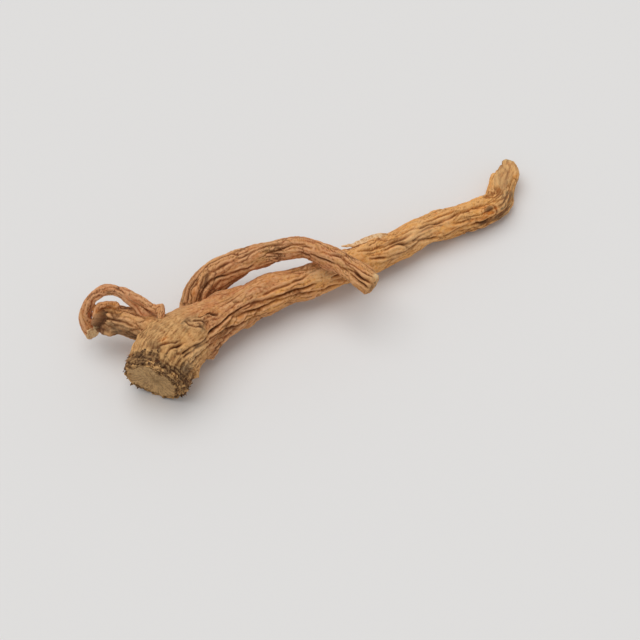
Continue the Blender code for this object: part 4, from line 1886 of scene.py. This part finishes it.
def lateral() -> Limb:
    """Describe the short broken lateral."""
    return Limb(
        name="lateral",
        axis=(
            (-54.7, 1.5, 9.5, 9.6),
            (-57.4, 7.5, 10.4, 8.7),
            (-60.4, 12.3, 11.0, 9.0),
            (-63.4, 16.5, 10.9, 7.9),
            (-66.7, 20.1, 10.6, 7.0),
        ),
        nets=(Net(2.6, 3.5, 0.38), Net(1.3, 3.0, 0.22)),
        folds=(Folds(6, 0.34, 2.9),),
        furrows=(
            Furrow(0.6, 0.36, ((9, 4), (14, 10), (18, -4), (23, 4))),
            Furrow(0.6, 0.36, ((11, -40), (16, -32), (22, -38))),
        ),
        marks=(Mark(18, -108, 1.8, 1.2), Mark(20.5, -95, 1.0, 0.8)),
        tones={
            Stain.PINK: ((0, 0.2), (10, 0.6), (25, 0.7)),
            Stain.OCHRE: ((0, 0.1), (25, 0.3)),
            # Painted shade in the hollow end
            Stain.DARK: ((0, 0.0), (19.8, 0.0), (21.2, 0.7), (26, 0.8)),
        },
        patches=(
            Patch(Stain.GREY, 13, -75, 9.0, 4.0, 1.0),
            Patch(Stain.DARK, 12, -82, 5.0, 2.6, 0.6),
            Patch(Stain.DARK, 19, -118, 2.2, 1.2, 0.5),
        ),
        breaks=(
            # The hollow end's face, darkened as painted shade
            Break((-66.5, 16.8, 13.6), (-0.74, 0.30, 0.60), 15.0, True, 1.6, 0.5, ((Stain.DARK, 0.9),)),
        ),
        fillet_length=8.0,
    )


def curl() -> Limb:
    """Describe the curled rootlet."""
    return Limb(
        name="curl",
        axis=(
            (-56.5, 8.1, 11.5, 4.0),
            (-56.9, 11.6, 15.0, 3.3),
            (-57.8, 15.4, 17.6, 3.1),
            (-59.4, 18.8, 18.8, 3.0),
            (-61.9, 21.8, 18.8, 3.0),
            (-65.1, 23.0, 17.5, 2.9),
            (-67.8, 23.4, 15.0, 3.1),
            (-69.7, 22.7, 12.0, 3.4),
            (-70.2, 21.1, 9.0, 3.8),
            (-70.3, 18.6, 7.0, 4.0),
        ),
        nets=(Net(1.1, 8.0, 0.16),),
        folds=(Folds(5, 1.4, 2.9),),
        breaks=(
            Break((-70.3, 18.7, 7.0), (-0.15, -1.0, 0.10), 30.0, True, 0.4, 0.3, ((Stain.CREAM, 1.0),)),
        ),
        tones={Stain.PINK: ((0, 0.9), (30, 1.0), (44, 0.8)), Stain.OCHRE: ((0, 0.0), (36, 0.2), (44, 0.8))},
        fillet_length=3.0,
        sides=18,
        spacing=1.2,
    )


def knobby_stub() -> Limb:
    """Describe the knobby stub at the rootlet's base."""
    return Limb(
        name="knobby_stub",
        axis=(
            (-58.2, 16.8, 18.2, 2.2),
            (-57.6, 15.6, 18.2, 2.6),
            (-56.4, 13.7, 18.0, 2.7),
            (-55.4, 11.7, 17.5, 2.5),
            (-54.8, 9.7, 17.0, 2.3),
            (-54.1, 8.2, 17.0, 2.6),
            (-53.1, 7.4, 17.2, 3.4),
            (-53.6, 6.3, 16.9, 2.4),
            (-54.7, 5.2, 16.5, 1.4),
        ),
        nets=(Net(1.1, 3.0, 0.2),),
        folds=(Folds(4, 1.5, 1.1),),
        tones={Stain.PINK: ((0, 0.9), (16, 0.8)), Stain.OCHRE: ((0, 0.0), (10, 0.2), (16, 0.4))},
        fillet_length=0.5,
        sides=16,
        spacing=1.2,
    )


def bark_roll() -> Limb:
    """Describe the roll of bark that comes out of the lateral's hollow end and lies over its top."""
    return Limb(
        name="bark_roll",
        axis=(
            (-67.9, 19.4, 11.2, 1.4),
            (-67.2, 20.6, 13.4, 1.8),
            (-65.4, 20.9, 15.0, 1.9),
            (-63.3, 19.4, 15.7, 1.9),
            (-61.8, 17.7, 15.6, 2.1),
        ),
        nets=(Net(0.9, 5.0, 0.18),),
        folds=(Folds(4, 1.2, 0.6),),
        tones={Stain.PINK: ((0, 1.0), (9, 0.8)), Stain.OCHRE: ((0, 0.1), (5, 0.3), (9, 0.6)),
               Stain.EMBER: ((0, 0.3), (8, 0.5))},
        fillet_length=0.0,
        sides=14,
        spacing=1.0,
    )


def loose_pieces(trunk: MainRoot) -> tuple[tuple[LooseBark | Scattered, MottledFinish], ...]:
    """Describe what lies on the main root, each piece with its finish."""
    flap = LooseBark("bark_flap", trunk, ((73, -55, 1.0, 0.2), (75, -49, 1.1, 0.65), (78, -41, 1.0, 0.85),
                                          (81, -34, 0.7, 0.95), (84, -27, 0.3, 0.9), (87, -20, -0.1, 0.7)),
                     thickness=0.3, curl=0.2, tilt=42)
    chip = LooseBark("bark_chip", trunk, ((20.5, 12, 0.3, 0.3), (22.5, 7, 0.7, 0.7), (25, 6, 0.7, 0.8),
                                          (26.5, 12, 0.5, 0.7), (27.5, 21, 0.1, 0.3)), thickness=0.25)
    scales = CrownScales("crown_scales", trunk, count=150, length=1.3, thickness=0.16, clearance=2.2, seed=7)
    fibres = Fibres("crown_fibres", trunk, count=60, length=1.7, thickness=0.15, clearance=1.7, seed=3,
                    reach=(0.2, 4.5), lean=0.86)
    return (flap, LOOSE_BARK), (chip, REDDISH_BARK), (scales, CROWN_SCALE), (fibres, REDDISH_BARK)


def main() -> None:
    """Build the root, what lies on it, and the studio."""
    logging.basicConfig(level=logging.INFO, format="%(name)s %(message)s")
    trunk = main_root()
    body = RootBody((trunk, arch(), strand(), lateral(), curl(), knobby_stub(), bark_roll())).build()
    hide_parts(NODE)
    dress(body, BarkFinish().material())

    surface = Surface(body)
    materials = {finish.name: finish.material() for finish in (LOOSE_BARK, REDDISH_BARK, CROWN_SCALE)}
    for piece, finish in loose_pieces(trunk):
        dress(piece.build(surface), materials[finish.name])
    Studio().build()


if __name__ == "__main__":
    main()
